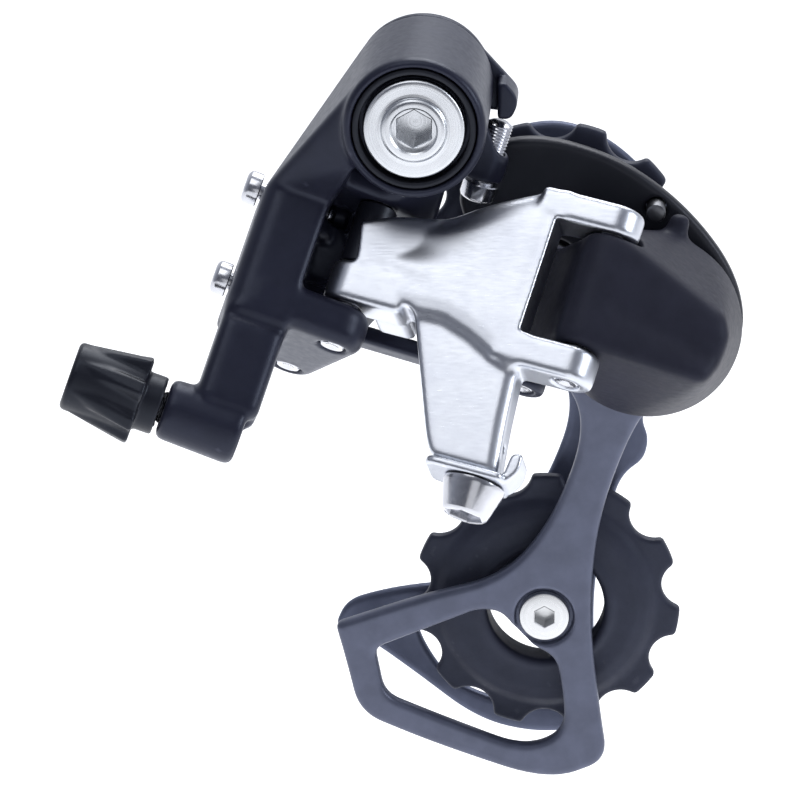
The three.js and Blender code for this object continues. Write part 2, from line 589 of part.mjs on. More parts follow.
// Toothed chain wheel: eleven roller seats, a dished rim, three spokes and a hub.
function pulley(name, centre, toothPhase) {
  const frame = acrossFrame(...centre).multiply(new THREE.Matrix4().makeTranslation(0, 0, PULLEY_Y));
  const tooth = new THREE.Shape();
  const step = 360 / TEETH;
  // Where a roller seat's circle meets the tip circle, seen from the seat's own centre line.
  const cosHalf = (TIP_RADIUS ** 2 + ROLLER_CIRCLE ** 2 - ROLLER_SEAT ** 2) /
    (2 * TIP_RADIUS * ROLLER_CIRCLE);
  const half = Math.acos(cosHalf);
  const seatSteps = 5;
  for (let i = 0; i < TEETH; i++) {
    const middle = radians(toothPhase + step * (i + 0.5));
    const centreX = ROLLER_CIRCLE * Math.cos(middle);
    const centreY = ROLLER_CIRCLE * Math.sin(middle);
    const angleOf = (side) => Math.atan2(
      TIP_RADIUS * Math.sin(middle + side * half) - centreY,
      TIP_RADIUS * Math.cos(middle + side * half) - centreX,
    );
    const begin = angleOf(-1);
    let sweep = angleOf(1) - begin;
    while (sweep > 0) sweep -= 2 * Math.PI;
    for (let k = 0; k <= seatSteps; k++) {
      const angle = begin + (sweep * k) / seatSteps;
      const x = centreX + ROLLER_SEAT * Math.cos(angle);
      const y = centreY + ROLLER_SEAT * Math.sin(angle);
      if (i === 0 && k === 0) tooth.moveTo(x, y);
      else tooth.lineTo(x, y);
    }
  }
  tooth.closePath();
  const rim = turnedPiece(frame, [
    [9.3, -2.6], [10.4, -3.0], [13, -2.5], [16.4, -1.9], [17.8, -1.2], [17.8, 1.2], [16.4, 1.9],
    [13, 2.5], [10.4, 3.0], [9.3, 2.6], [9.3, -2.6],
  ], FINE);
  const hub = turnedPiece(frame, ringProfile(3.2, 5.0, -HUB_HALF_WIDTH, HUB_HALF_WIDTH));
  const spokes = [45, 165, 285].map((angle) => box(
    frame.clone().multiply(new THREE.Matrix4().makeRotationZ(radians(-angle))),
    [4.4, -1.4, -1.8], [10.2, 1.4, 1.8],
  ));
  const wheel = cut(plate(frame, tooth, -1.1, 1.1), rod(frame, 0, 0, -2, 2, 9.3, FINE));
  addPiece(name, join(wheel, rim, hub, ...spokes), "pulley");
}

const outerWindowCorners = [
  [-7.8, -94.2, 1.5], [8.5, -87.2, 1.5], [12.2, -87.4, 2], [16.2, -92.6, 2.5], [20.8, -95.0, 2],
  [21.9, -99.7, 8], [22.6, -107.8, 4], [16, -110.9, 5], [3, -106.0, 10], [-6.2, -102.2, 2.5],
];
const innerWindowCorners = [
  [-2.2, -93.6, 2], [9, -89.6, 1.5], [12.2, -91, 2], [14.4, -94.6, 3], [20.0, -95.8, 2],
  [22.2, -101, 4], [21.6, -108.2, 3], [11, -107.8, 4], [3.4, -104.4, 5], [-0.6, -98.4, 4],
];

function cage() {
  const outer = outline([
    [4.9, -19.1, 2], [9.3, -10.6, 2.5], [18, -9.0, 7], [30, -12.6, 8], [40.5, -20.4, 9],
    [48.4, -31, 8], [50.0, -42, 8], [41.5, -52.5, 6], [34.4, -53.6, 2], [31.6, -59, 8],
    [28.2, -69, 10], [26.6, -79, 10],
    [26.4, -91, 8], [28.2, -105, 4], [29.4, -112.6, 3.5], [20, -116.6, 8], [2, -110.6, 12],
    [-10.4, -105.4, 4], [-12.6, -96, 5], [-14.2, -90.2, 1], [0, -85.0, 6], [12.4, -81.6, 10],
    [19.6, -72.6, 9], [24.4, -59.6, 6], [23.9, -51.5, 5], [16, -43.5, 6], [8.4, -32, 6],
  ]);
  const bore = (centre, y, radius, sides) => rod(acrossFrame(...centre), 0, 0, ...y, radius, sides);
  addPiece("cage_outer_plate", cut(
    sidePlate(outer, OUTER_PLATE),
    sidePlate(outline(outerWindowCorners), [0, 6]),
    bore(CAGE_PIVOT, [0, 6], 4.1),
    ...[GUIDE_CENTRE, TENSION_CENTRE].flatMap((centre) => [
      bore(centre, [0, 6], 2.7, SLIM), bore(centre, [0, 2.5], 4.7),
    ]),
    bore(stopPinPlace, [0, 6], 1.6, SLIM),
  ), "cagePlate");
  const inner = outline([
    [2.4, -30, 8], [6.5, -14.5, 8], [19, -9.4, 9], [30, -14, 9], [39, -25, 8], [40, -38, 8],
    [36.4, -52, 8], [33.6, -59, 3], [35, -62.6, 1.5], [34.3, -66, 1.5], [30.6, -69, 3],
    [27.6, -80, 8], [26.4, -91, 8],
    [27.2, -104, 4], [27, -112, 3.5], [18, -113.6, 7], [8, -111.4, 7], [-2.4, -103.2, 6],
    [-9.2, -98.2, 3], [-15.2, -95.6, 1.5], [-13.2, -91, 3], [-5.4, -88.6, 5], [5, -87.2, 6],
    [12, -81, 10], [18.9, -69.4, 9], [23, -57.4, 8], [19.6, -48.4, 8], [6.4, -41.6, 8],
  ]);
  addPiece("cage_inner_plate", cut(
    sidePlate(inner, INNER_PLATE),
    sidePlate(outline(innerWindowCorners), [12, 18]),
    ...[GUIDE_CENTRE, TENSION_CENTRE].map((centre) => bore(centre, [12, 18], 2.7, SLIM)),
  ), "cagePlate");

  addPiece("p_axle", turnedPiece(cageAxis, [
    [0, -18.2], [2.6, -18.2], [3.0, -17.8], [3.0, -15.9], [4.0, -15.6], [4.0, 4.05], [5.6, 4.15],
    [5.6, 4.75], [5.2, 5.0], [0, 5.0],
  ]), "polishedSteel");
  addPiece("p_seal_ring", turnedPiece(cageAxis, ringProfile(9.8, 12.6, -0.6, 0.9), FINE), "seal");
  addPiece("cage_stop_pin", turnedPiece(acrossFrame(...stopPinPlace), [
    [0, -1.9], [1.2, -1.9], [1.5, -1.6], [1.5, 3.9], [0, 3.9],
  ], SLIM), "polishedSteel");

  for (const [name, centre, phase] of [
    ["guide", GUIDE_CENTRE, 90 + 180 / TEETH], ["tension", TENSION_CENTRE, 90],
  ]) {
    const frame = acrossFrame(...centre);
    pulley(`${name}_pulley`, centre, -phase);
    const ring = (inner, outer, low, high, sides) =>
      turnedPiece(frame, ringProfile(inner, outer, low, high), sides);
    addPiece(`${name}_pulley_bushing`, ring(2.6, 3.1, 5.15, 12.65, SLIM), "polishedSteel");
    addPiece(`${name}_cap_outer`, ring(2.6, 4.8, 4.1, 4.85, ROUND), "polishedSteel");
    addPiece(`${name}_cap_inner`, ring(2.6, 4.8, 12.9, 13.7, ROUND), "polishedSteel");
    const bolt = turnedPiece(frame, [
      [0, 1.3], [3.7, 1.3], [4.0, 1.6], [4.0, 2.4], [2.5, 2.4], [2.5, 16.6], [0, 16.6],
    ], ROUND);
    addPiece(`${name}_pulley_bolt`, cut(bolt, socket(frame, 3, 0, 3.6)), "polishedSteel");
  }
}
hangerPieces();
upperKnuckle();
cableAdjuster();
outerLink();
innerLink();
returnSpring();
lowerKnuckle();
cage();

export default derailleur;
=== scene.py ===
"""Looks of a rear bicycle derailleur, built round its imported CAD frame.

Shapes are worked out in millimetres in the row frame (+X forward, +Y inboard, +Z up, origin on the
hanger bolt) and written to meshes in metres. Cast, moulded, pressed and cut pieces are distance
fields turned into surface nets; turned pieces are lathes; springs are tubes.
"""

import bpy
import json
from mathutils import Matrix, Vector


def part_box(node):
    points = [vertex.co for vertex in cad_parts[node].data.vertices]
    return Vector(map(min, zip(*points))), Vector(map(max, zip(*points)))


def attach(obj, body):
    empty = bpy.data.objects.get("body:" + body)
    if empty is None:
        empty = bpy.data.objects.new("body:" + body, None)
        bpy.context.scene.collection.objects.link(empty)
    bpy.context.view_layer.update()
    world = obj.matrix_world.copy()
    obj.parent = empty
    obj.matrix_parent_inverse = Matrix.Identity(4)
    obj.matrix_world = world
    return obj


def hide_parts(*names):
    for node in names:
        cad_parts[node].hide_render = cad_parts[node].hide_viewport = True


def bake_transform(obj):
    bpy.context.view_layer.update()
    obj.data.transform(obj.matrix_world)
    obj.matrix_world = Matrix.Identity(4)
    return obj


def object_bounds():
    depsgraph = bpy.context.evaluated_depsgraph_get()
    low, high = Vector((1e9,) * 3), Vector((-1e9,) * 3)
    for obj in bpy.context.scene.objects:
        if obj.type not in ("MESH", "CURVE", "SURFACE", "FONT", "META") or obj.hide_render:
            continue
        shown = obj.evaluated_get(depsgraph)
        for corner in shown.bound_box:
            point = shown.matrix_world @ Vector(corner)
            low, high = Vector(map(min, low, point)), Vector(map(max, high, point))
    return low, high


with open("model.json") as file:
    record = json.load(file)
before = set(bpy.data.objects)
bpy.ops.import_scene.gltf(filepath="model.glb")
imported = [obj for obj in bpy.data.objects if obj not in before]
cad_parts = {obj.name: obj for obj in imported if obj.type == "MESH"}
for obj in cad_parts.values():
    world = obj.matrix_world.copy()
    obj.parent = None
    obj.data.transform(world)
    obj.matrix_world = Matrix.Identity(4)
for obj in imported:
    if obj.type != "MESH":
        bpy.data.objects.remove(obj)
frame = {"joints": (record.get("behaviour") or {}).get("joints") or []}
CAD_BOX = [list(corner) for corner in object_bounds()]

import json
import math

import bmesh
import bpy
import numpy as np
from mathutils import Vector

MM = 0.001

# ---- places, from the frame ---------------------------------------------------------
JOINT = {joint["name"]: joint for joint in frame["joints"]}


def place(joint):
    return np.array(JOINT[joint]["pos_m"]) / MM


X, Y, Z = np.eye(3)
N = np.array(JOINT["link_swing"]["axis"])  # up along the link pins
U = np.array(JOINT["cable_adjuster_turn"]["axis"])  # forward across them
V = np.cross(N, U)  # inboard
OUTER_B, INNER_B = place("link_swing"), place("inner_link_swing")
OUTER_P = place("p_knuckle_swing")
LINK_LENGTH = float(np.linalg.norm(OUTER_P - OUTER_B))
A = (OUTER_P - OUTER_B) / LINK_LENGTH  # along the links
D = np.cross(N, A)
CAGE_PIVOT = place("cage_pivot")
GUIDE, TENSION = place("guide_pulley_spin"), place("tension_pulley_spin")
ANCHOR_A = float((place("cable_anchor_turn") - OUTER_B) @ A)
ADJUSTER_S = float((place("cable_adjuster_turn") - OUTER_B) @ N)

# A frame is (origin, x axis, y axis, z axis).
UPPER = (OUTER_B, U, V, N)
LOWER = (OUTER_P, U, V, N)
LINK = (OUTER_B, A, D, N)
INNER_LINK = (INNER_B, A, D, N)
ROW = (np.zeros(3), X, Y, Z)
IU, IV = float((INNER_B - OUTER_B) @ U), float((INNER_B - OUTER_B) @ V)  # inner pins from the outer

# Radii round the link pins: pressed on, turning, loose in the lower knuckle, and round a bushing.
PRESS_BORE, RUNNING_BORE, LOOSE_BORE, BUSHING_SEAT = 2.1, 2.25, 2.4, 3.1


def across(point):
    """Frame whose z runs along the row's +Y through a point's x and z."""
    return (np.array([point[0], 0.0, point[2]]), X, -Z, Y)


def along_u(base, v, s):
    """Frame whose z runs along the slant frame's u."""
    return (base[0] + v * V + s * N, -N, V, U)


HANGER, CAGE = across(np.zeros(3)), across(CAGE_PIVOT)
ADJUSTER = along_u(UPPER, 0, ADJUSTER_S)


def at(base, x, y, z):
    return base[0] + x * base[1] + y * base[2] + z * base[3]


def into(base, points):
    rel = points - base[0].astype(np.float32)
    return [rel @ axis.astype(np.float32) for axis in base[1:]]


def moved(base, x=0.0, y=0.0, z=0.0):
    return (at(base, x, y, z), *base[1:])


def turned(base, degrees):
    c, s = math.cos(math.radians(degrees)), math.sin(math.radians(degrees))
    return (base[0], c * base[1] + s * base[2], c * base[2] - s * base[1], base[3])


def added(name, data):
    obj = bpy.data.objects.new(name, data)
    bpy.context.scene.collection.objects.link(obj)
    return obj


# ---- distance fields ----------------------------------------------------------------
def rounded(corners, pieces=5):
    """Outline through corners (x, y, radius), each rounded by a short curve."""
    points = []
    count = len(corners)
    for i, corner in enumerate(corners):
        here = np.array(corner[:2], float)
        radius = corner[2] if len(corner) > 2 else 0
        if not radius:
            points.append(here)
            continue
        before = np.array(corners[i - 1][:2], float) - here
        after = np.array(corners[(i + 1) % count][:2], float) - here
        start, end = (here + side * min(radius / np.linalg.norm(side), 0.48)
                      for side in (before, after))
        for t in np.linspace(0, 1, pieces):
            points.append((1 - t) ** 2 * start + 2 * t * (1 - t) * here + t * t * end)
    return np.array(points)


def polygon_distance(x, y, corners):
    best = np.full(x.shape, 1e9, np.float32)
    sign = np.ones(x.shape, np.float32)
    for (ax, ay), (bx, by) in zip(corners, np.roll(corners, 1, axis=0)):
        ex, ey = bx - ax, by - ay
        wx, wy = x - ax, y - ay
        t = np.clip((wx * ex + wy * ey) / (ex * ex + ey * ey + 1e-12), 0, 1)
        best = np.minimum(best, (wx - ex * t) ** 2 + (wy - ey * t) ** 2)
        below, above, left = y >= ay, y < by, ex * wy > ey * wx
        sign[(below & above & left) | ~(below | above | left)] *= -1
    return sign * np.sqrt(best)


def slab(value, low, high):
    return np.abs(value - (low + high) / 2) - (high - low) / 2


def meet(a, b, edge):
    """Intersection of two distances whose shared edge is rounded."""
    a, b = a + edge, b + edge
    return np.minimum(np.maximum(a, b), 0) + np.hypot(np.maximum(a, 0), np.maximum(b, 0)) - edge


def prism(base, corners, low, high, edge=0.3, grow=0.0):
    """Outline in a frame's x, y between two heights; grow rounds it outwards."""
    corners = np.array(corners, float)

    def field(points):
        x, y, z = into(base, points)
        return meet(polygon_distance(x, y, corners) - grow, slab(z, low, high), edge)
    return field


def side_prism(base, corners, low, high, edge=0.3):
    """Outline in a frame's x, z between two values of its y."""
    origin, x, y, z = base
    return prism((origin, x, z, -y), corners, -high, -low, edge)


def cylinder(base, x, y, low, high, radius, edge=0.2):
    def field(points):
        px, py, pz = into(base, points)
        return meet(np.hypot(px - x, py - y) - radius, slab(pz, low, high), edge)
    return field


def revolved(base, profile):
    """Closed [radius, height] outline turned about a frame's z."""
    profile = np.array(profile, float)

    def field(points):
        x, y, z = into(base, points)
        return polygon_distance(np.hypot(x, y), z, profile)
    return field


def block(base, low, high, edge=0.3):
    (left, front, under), (right, back, top) = low, high
    return prism(base, [(left, front), (right, front), (right, back), (left, back)], under, top, edge)


def hull(points):
    """Convex hull of points, as the furthest of its faces' planes."""
    mesh = bmesh.new()
    for point in points:
        mesh.verts.new(point)
    bmesh.ops.convex_hull(mesh, input=mesh.verts)
    middle = np.mean(points, axis=0)
    planes = {}
    for face in mesh.faces:
        normal = np.array(face.normal)
        offset = float(normal @ np.array(face.verts[0].co))
        if normal @ middle > offset:
            normal, offset = -normal, -offset
        planes[tuple(np.round([*normal, offset], 3))] = (*normal, offset)
    mesh.free()
    table = np.array(list(planes.values()), np.float32)

    def field(p):
        parts = np.array_split(p, max(1, len(p) // 100000))
        return np.concatenate([(q @ table[:, :3].T - table[:, 3]).max(1) for q in parts])
    return field


def union(*fields):
    return lambda points: np.minimum.reduce([field(points) for field in fields])


def without(body, *cuts):
    return lambda points: np.maximum.reduce([body(points), *[-cut(points) for cut in cuts]])


def arc(base, x, y, z, radius, first=0, last=360, steps=24):
    angles = np.radians(np.linspace(first, last, steps + 1))
    return [at(base, x + radius * math.cos(q), y + radius * math.sin(q), z) for q in angles]


def drum(base, x, y, low, high, radius, steps=24):
    return arc(base, x, y, low, radius, steps=steps) + arc(base, x, y, high, radius, steps=steps)


# ---- meshes -------------------------------------------------------------------------
BLOCK = 8  # samples along a block's side


def sample(field, low, counts, step):
    """Field on a grid, worked out in full only in the blocks near its surface."""
    starts = np.indices(counts).reshape(3, -1).T
    coarse = field(((starts + 0.5) * BLOCK * step + low).astype(np.float32))
    near = np.abs(coarse) < BLOCK * step * 0.87 + 5 * step
    values = coarse.reshape(counts)
    for axis in range(3):
        values = np.repeat(values, BLOCK, axis)
    offsets = np.indices((BLOCK,) * 3).reshape(3, -1).T
    grid = starts[near][:, None, :] * BLOCK + offsets[None]
    fine = field((grid.reshape(-1, 3) * step + low).astype(np.float32))
    blocks = values.reshape(counts[0], BLOCK, counts[1], BLOCK, counts[2], BLOCK)
    blocks.transpose(0, 2, 4, 1, 3, 5)[near.reshape(counts)] = fine.reshape(-1, BLOCK, BLOCK, BLOCK)
    return values


def blurred(values, passes):
    for _ in range(passes):
        for axis in range(3):
            padded = np.pad(values, [(1, 1) if k == axis else (0, 0) for k in range(3)], "edge")
            end = padded.shape[axis]
            low, middle, high = (np.take(padded, range(k, end - 2 + k), axis) for k in range(3))
            values = (low + 2 * middle + high) / 4
    return values


CELL_CORNERS = [np.array([i, j, k]) for i in (0, 1) for j in (0, 1) for k in (0, 1)]


def surface_net(values, low, step):
    """Vertices and quads of the surface where the values change sign."""
    inside = values < 0
    size = np.array(values.shape)
    filled = sum(inside[i:size[0] - 1 + i, j:size[1] - 1 + j, k:size[2] - 1 + k].astype(np.uint8)
                 for i, j, k in CELL_CORNERS)
    active = (filled > 0) & (filled < 8)
    cells = np.argwhere(active)
    index = np.full(active.shape, -1, np.int64)
    index[active] = np.arange(len(cells))
    total, count = np.zeros((len(cells), 3)), np.zeros(len(cells))
    for corner in CELL_CORNERS:
        for axis in np.flatnonzero(corner == 0):
            other = corner.copy()
            other[axis] = 1
            a, b = values[tuple((cells + corner).T)], values[tuple((cells + other).T)]
            crosses = (a < 0) != (b < 0)
            point = np.tile(corner.astype(float), (len(cells), 1))
            point[:, axis] = np.where(crosses, a / np.where(crosses, a - b, 1), 0)
            total += crosses[:, None] * point
            count += crosses
    vertices = low + (cells + total / count[:, None]) * step
    quads = []
    for axis in range(3):
        one, two = np.eye(3, dtype=int)[[(axis + 1) % 3, (axis + 2) % 3]]
        first = np.take(inside, range(size[axis] - 1), axis)
        second = np.take(inside, range(1, size[axis]), axis)
        edges = np.argwhere(first != second)
        outward = first[tuple(edges.T)]
        around = np.array([index[tuple((edges - away).T)] for away in (one + two, two, 0 * one, one)]).T
        quads.append(around[outward])
        quads.append(around[~outward][:, ::-1])
    return vertices, np.concatenate(quads)


SLOT_OF = {"lower_knuckle": "black_knuckle", "outer_plate": "cage_plate",
           **dict.fromkeys(("stop_pin", "hanger_bolt", "tension_bolt", "guide_bolt"), "polished_steel")}


def made(piece, vertices, faces, sharp_degrees=None):
    """Object of a piece, which is (name, body it rides on, look, CAD node it replaces)."""
    name, body, look, node = piece
    mesh = bpy.data.meshes.new(name)
    faces = faces.tolist() if isinstance(faces, np.ndarray) else faces
    mesh.from_pydata((np.array(vertices) * MM).tolist(), [], faces)
    mesh.validate()
    work = bmesh.new()
    work.from_mesh(mesh)
    bmesh.ops.recalc_face_normals(work, faces=work.faces)
    work.to_mesh(mesh)
    work.free()
    mesh.shade_smooth()
    if sharp_degrees is not None:
        mesh.set_sharp_from_angle(angle=math.radians(sharp_degrees))
    mesh.materials.append(MATERIAL[look])
    obj = added(name, mesh)
    if body:
        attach(obj, body)
    SLOT_OF.get(look, look)
    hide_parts(node)
    return obj


def cast(piece, body, cuts=None, step=0.35, softness=3):
    """Piece from a distance field, its edges softened, then cut crisply."""
    low, high = (np.array(corner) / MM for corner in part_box(piece[-1]))
    low, high = low - 4 * step, high + 4 * step
    counts = np.ceil((high - low) / step / BLOCK).astype(int)
    values = blurred(sample(body, low, counts, step), softness)
    if cuts is not None:
        values = blurred(np.maximum(values, -sample(cuts, low, counts, step)), 1)
    vertices, quads = surface_net(values, low, step)
    return made(piece, vertices, quads)


def polygon_ring(across_flats, sides=6):
    """Radius of a polygon's edge at an angle."""
    sector = 2 * math.pi / sides
    return lambda angle: across_flats / 2 / math.cos((angle + sector / 2) % sector - sector / 2)


def cross_ring(half_width, reach):
    """Radius of a cross-shaped recess's edge at an angle."""
    def radius(angle):
        away = (angle + math.pi / 4) % (math.pi / 2) - math.pi / 4
        return min(reach / math.cos(away), half_width / max(abs(math.sin(away)), 1e-6))
    return radius


def lathe(piece, base, profile, segments=96, sharp=35, closed=False):
    """Turned piece: (radius or ring function, height) from axis to axis, or closed into a ring."""
    rings = []
    vertices = []
    for radius, height in profile:
        if radius == 0:
            rings.append([len(vertices)])
            vertices.append(at(base, 0, 0, height))
            continue
        rings.append(list(range(len(vertices), len(vertices) + segments)))
        for i in range(segments):
            angle = 2 * math.pi * i / segments
            r = radius(angle) if callable(radius) else radius
            vertices.append(at(base, r * math.cos(angle), r * math.sin(angle), height))
    pairs = list(zip(rings, rings[1:])) + ([(rings[-1], rings[0])] if closed else [])
    faces = []
    for low, high in pairs:
        for i in range(segments):
            j = (i + 1) % segments
            corners = list(dict.fromkeys(
                [low[i % len(low)], low[j % len(low)], high[j % len(high)], high[i % len(high)]]))
            if len(corners) > 2:
                faces.append(corners)
    return made(piece, vertices, faces, sharp)


def ring(piece, base, inner, outer, low, high, edge=0.15, segments=72):
    return lathe(piece, base, [
        (inner, low + edge), (inner + edge, low), (outer - edge, low), (outer, low + edge),
        (outer, high - edge), (outer - edge, high), (inner + edge, high), (inner, high - edge),
    ], segments, closed=True)


def coil(piece, base, radius, wire, low, high, turns):
    """Coil of round wire about a frame's z."""
    steps = int(turns * 40)
    centres = []
    for i in range(steps + 1):
        angle = 2 * math.pi * turns * i / steps
        centres.append(at(base, radius * math.cos(angle), radius * math.sin(angle),
                          low + (high - low) * i / steps))
    return tube(piece, np.array(centres), wire)


def tube(piece, centres, wire, sides=14):
    """Round wire along a line of centres, its ends closed."""
    along = np.gradient(centres, axis=0)
    along /= np.linalg.norm(along, axis=1)[:, None]
    normal = np.cross(along[0], X if abs(along[0] @ X) < 0.9 else Y)
    vertices, faces = [], []
    for i, centre in enumerate(centres):
        normal = normal - (normal @ along[i]) * along[i]
        normal /= np.linalg.norm(normal)
        side = np.cross(along[i], normal)
        for k in range(sides):
            angle = 2 * math.pi * k / sides
            vertices.append(centre + wire * (math.cos(angle) * normal + math.sin(angle) * side))
            if i:
                a, b = (i - 1) * sides + k, (i - 1) * sides + (k + 1) % sides
                faces.append([a, b, b + sides, a + sides])
    faces.append(list(range(sides))[::-1])
    faces.append(list(range(len(vertices) - sides, len(vertices))))
    return made(piece, vertices, faces, 50)


def smoothstep(low, high, value):
    t = np.clip((value - low) / (high - low), 0, 1)
    return t * t * (3 - 2 * t)


# ---- materials ----------------------------------------------------------------------
MATERIAL = {}  # by name


class Surface:
    """A Principled material with helpers for the nodes that vary it."""

    def __init__(self, name, **sockets):
        MATERIAL[name] = material = bpy.data.materials.new(name)
        material.use_nodes = True
        self.nodes, self.links = material.node_tree.nodes, material.node_tree.links
        self.shader = self.nodes["Principled BSDF"]
        for socket, value in sockets.items():
            self.shader.inputs[socket.replace("_", " ")].default_value = value
        self.coordinates = self.node("ShaderNodeTexCoord").outputs["Object"]

    def node(self, kind, **settings):
        node = self.nodes.new(kind)
        for key, value in settings.items():
            setattr(node, key, value)
        return node

    def noise(self, scale, detail, stretch=None):
        """Noise in features about 1/scale metres long; stretch is its (rotation, scales)."""
        texture = self.node("ShaderNodeTexNoise")
        texture.inputs["Scale"].default_value = scale
        texture.inputs["Detail"].default_value = detail
        texture.inputs["Roughness"].default_value = 0.6
        source = self.coordinates
        if stretch:
            mapping = self.node("ShaderNodeMapping")
            mapping.inputs["Rotation"].default_value = stretch[0]
            mapping.inputs["Scale"].default_value = stretch[1]
            self.links.new(source, mapping.inputs["Vector"])
            source = mapping.outputs["Vector"]
        self.links.new(source, texture.inputs["Vector"])
        return texture.outputs["Fac"]

    def ramp(self, factor, *stops):
        node = self.node("ShaderNodeValToRGB")
        self.links.new(factor, node.inputs["Fac"])
        elements = node.color_ramp.elements
        while len(elements) < len(stops):
            elements.new(0.5)
        for element, (position, colour) in zip(elements, stops):
            element.position = position
            element.color = (*colour, 1) if hasattr(colour, "__len__") else (colour,) * 3 + (1,)
        return node.outputs["Color"]

    def mix(self, factor, one, two):
        node = self.node("ShaderNodeMix", data_type="RGBA")
        self.links.new(factor, node.inputs["Factor"])
        for socket, value in (("A", one), ("B", two)):
            target = [s for s in node.inputs if s.name == socket and s.type == "RGBA"][0]
            if hasattr(value, "__len__"):
                target.default_value = (*value, 1)
            else:
                self.links.new(value, target)
        return [s for s in node.outputs if s.type == "RGBA"][0]

    def edges(self):
        """1 along worn convex edges."""
        pointiness = self.node("ShaderNodeNewGeometry").outputs["Pointiness"]
        return self.ramp(pointiness, (0.53, 0.0), (0.70, 1.0))

    def colour(self, source):
        self.links.new(source, self.shader.inputs["Base Color"])

    def roughness(self, source):
        self.links.new(source, self.shader.inputs["Roughness"])

    def bump(self, *layers):
        """Layers of (height, strength, distance in metres), the coarsest first."""
        before = None
        for height, strength, distance in layers:
            node = self.node("ShaderNodeBump")
            node.inputs["Strength"].default_value = strength
            node.inputs["Distance"].default_value = distance
            self.links.new(height, node.inputs["Height"])
            if before:
                self.links.new(before, node.inputs["Normal"])
            before = node.outputs["Normal"]
        self.links.new(before, self.shader.inputs["Normal"])


def shade(tone, factor):
    return tuple(channel * factor for channel in tone)


COAT_TINT = (0.76, 0.84, 1.0, 1.0)  # cool sheen of the dark coatings


def mottled(surface, tone, rough, grain, grain_depth):
    """Uneven sheen and fine grain on a surface; returns its mottled tone."""
    mottle = surface.noise(260, 4)
    base = surface.ramp(mottle, (0.3, shade(tone, 0.88)), (0.7, shade(tone, 1.12)))
    surface.roughness(surface.ramp(surface.noise(900, 3), (0.3, rough - 0.04), (0.7, rough + 0.05)))
    surface.bump((mottle, 0.05, 0.0002), (surface.noise(grain, 2), grain_depth, 0.00006))
    return base


def coated(name, tone, metallic, rough, grain, grain_depth, worn=None, specular=0.35):
    """Anodised, painted or moulded surface: mottled tone, fine grain, lighter worn edges."""
    surface = Surface(name, Metallic=metallic, Specular_IOR_Level=specular, Specular_Tint=COAT_TINT)
    base = mottled(surface, tone, rough, grain, grain_depth)
    surface.colour(surface.mix(surface.edges(), base, worn) if worn else base)


PAINTED_SHADE_HEIGHTS = (-0.054, -0.036)  # heights in metres over which painted shade turns the outer plate dark towards its upper end


def plate_with_painted_shade(name, tone):
    """The outer cage plate's anodising, with painted shade that turns it near black at its upper end."""
    surface = Surface(name, Metallic=0.45)
    split = surface.node("ShaderNodeSeparateXYZ")
    surface.links.new(surface.coordinates, split.inputs["Vector"])
    height = surface.node("ShaderNodeMapRange", interpolation_type="SMOOTHSTEP")
    height.inputs["From Min"].default_value, height.inputs["From Max"].default_value = PAINTED_SHADE_HEIGHTS
    surface.links.new(split.outputs["Z"], height.inputs["Value"])
    base = mottled(surface, tone, 0.40, 3800, 0.08)
    # Painted shade: blend to a near-black copy of the tone towards the plate's upper end.
    surface.colour(surface.mix(height.outputs["Result"], base, shade(tone, 0.16)))


def silver(name):
    """Satin silver casting: very fine brushed scratches and soft cloudiness."""
    surface = Surface(name, Metallic=1.0)
    clouds = surface.noise(180, 4)
    tone = surface.ramp(clouds, (0.3, (0.55, 0.575, 0.635)), (0.7, (0.61, 0.635, 0.685)))
    surface.colour(surface.mix(surface.edges(), tone, (0.80, 0.82, 0.86)))
    hairs = surface.noise(5200, 2, stretch=((0.0, 0.29, -0.24), (0.05, 1.0, 1.0)))
    surface.roughness(surface.ramp(hairs, (0.25, 0.27), (0.75, 0.37)))
    surface.bump((surface.noise(3400, 2), 0.05, 0.00002), (hairs, 0.05, 0.00001))


def turned_steel(name, centre, tone, rough, anisotropy):
    """Turned metal: concentric tool marks about a line along Y through a centre."""
    surface = Surface(name, Metallic=1.0, Anisotropic=anisotropy)
    shifted = surface.node("ShaderNodeMapping")
    shifted.inputs["Location"].default_value = [-c * MM for c in centre]
    shifted.inputs["Scale"].default_value = (1, 0, 1)
    surface.links.new(surface.coordinates, shifted.inputs["Vector"])
    length = surface.node("ShaderNodeVectorMath", operation="LENGTH")
    surface.links.new(shifted.outputs["Vector"], length.inputs[0])
    marks = surface.node("ShaderNodeTexNoise", noise_dimensions="1D")
    marks.inputs["Scale"].default_value = 5200
    marks.inputs["Detail"].default_value = 2
    surface.links.new(length.outputs["Value"], marks.inputs["W"])
    surface.colour(surface.ramp(surface.noise(300, 2), (0.3, shade(tone, 0.94)), (0.7, tone)))
    surface.roughness(surface.ramp(marks.outputs["Fac"], (0.3, rough - 0.05), (0.7, rough + 0.08)))
    surface.bump((marks.outputs["Fac"], 0.12, 0.00004))
    tangent = surface.node("ShaderNodeTangent", direction_type="RADIAL", axis="Y")
    surface.links.new(tangent.outputs["Tangent"], surface.shader.inputs["Tangent"])


def plain_steel(name, tone, rough):
    """Drawn or plated steel: faint streaks and pits."""
    surface = Surface(name, Metallic=1.0)
    surface.colour(surface.ramp(surface.noise(700, 3), (0.3, shade(tone, 0.92)), (0.7, tone)))
    surface.roughness(surface.ramp(surface.noise(1800, 2), (0.3, rough - 0.04), (0.7, rough + 0.06)))
    surface.bump((surface.noise(2400, 2), 0.04, 0.00001))


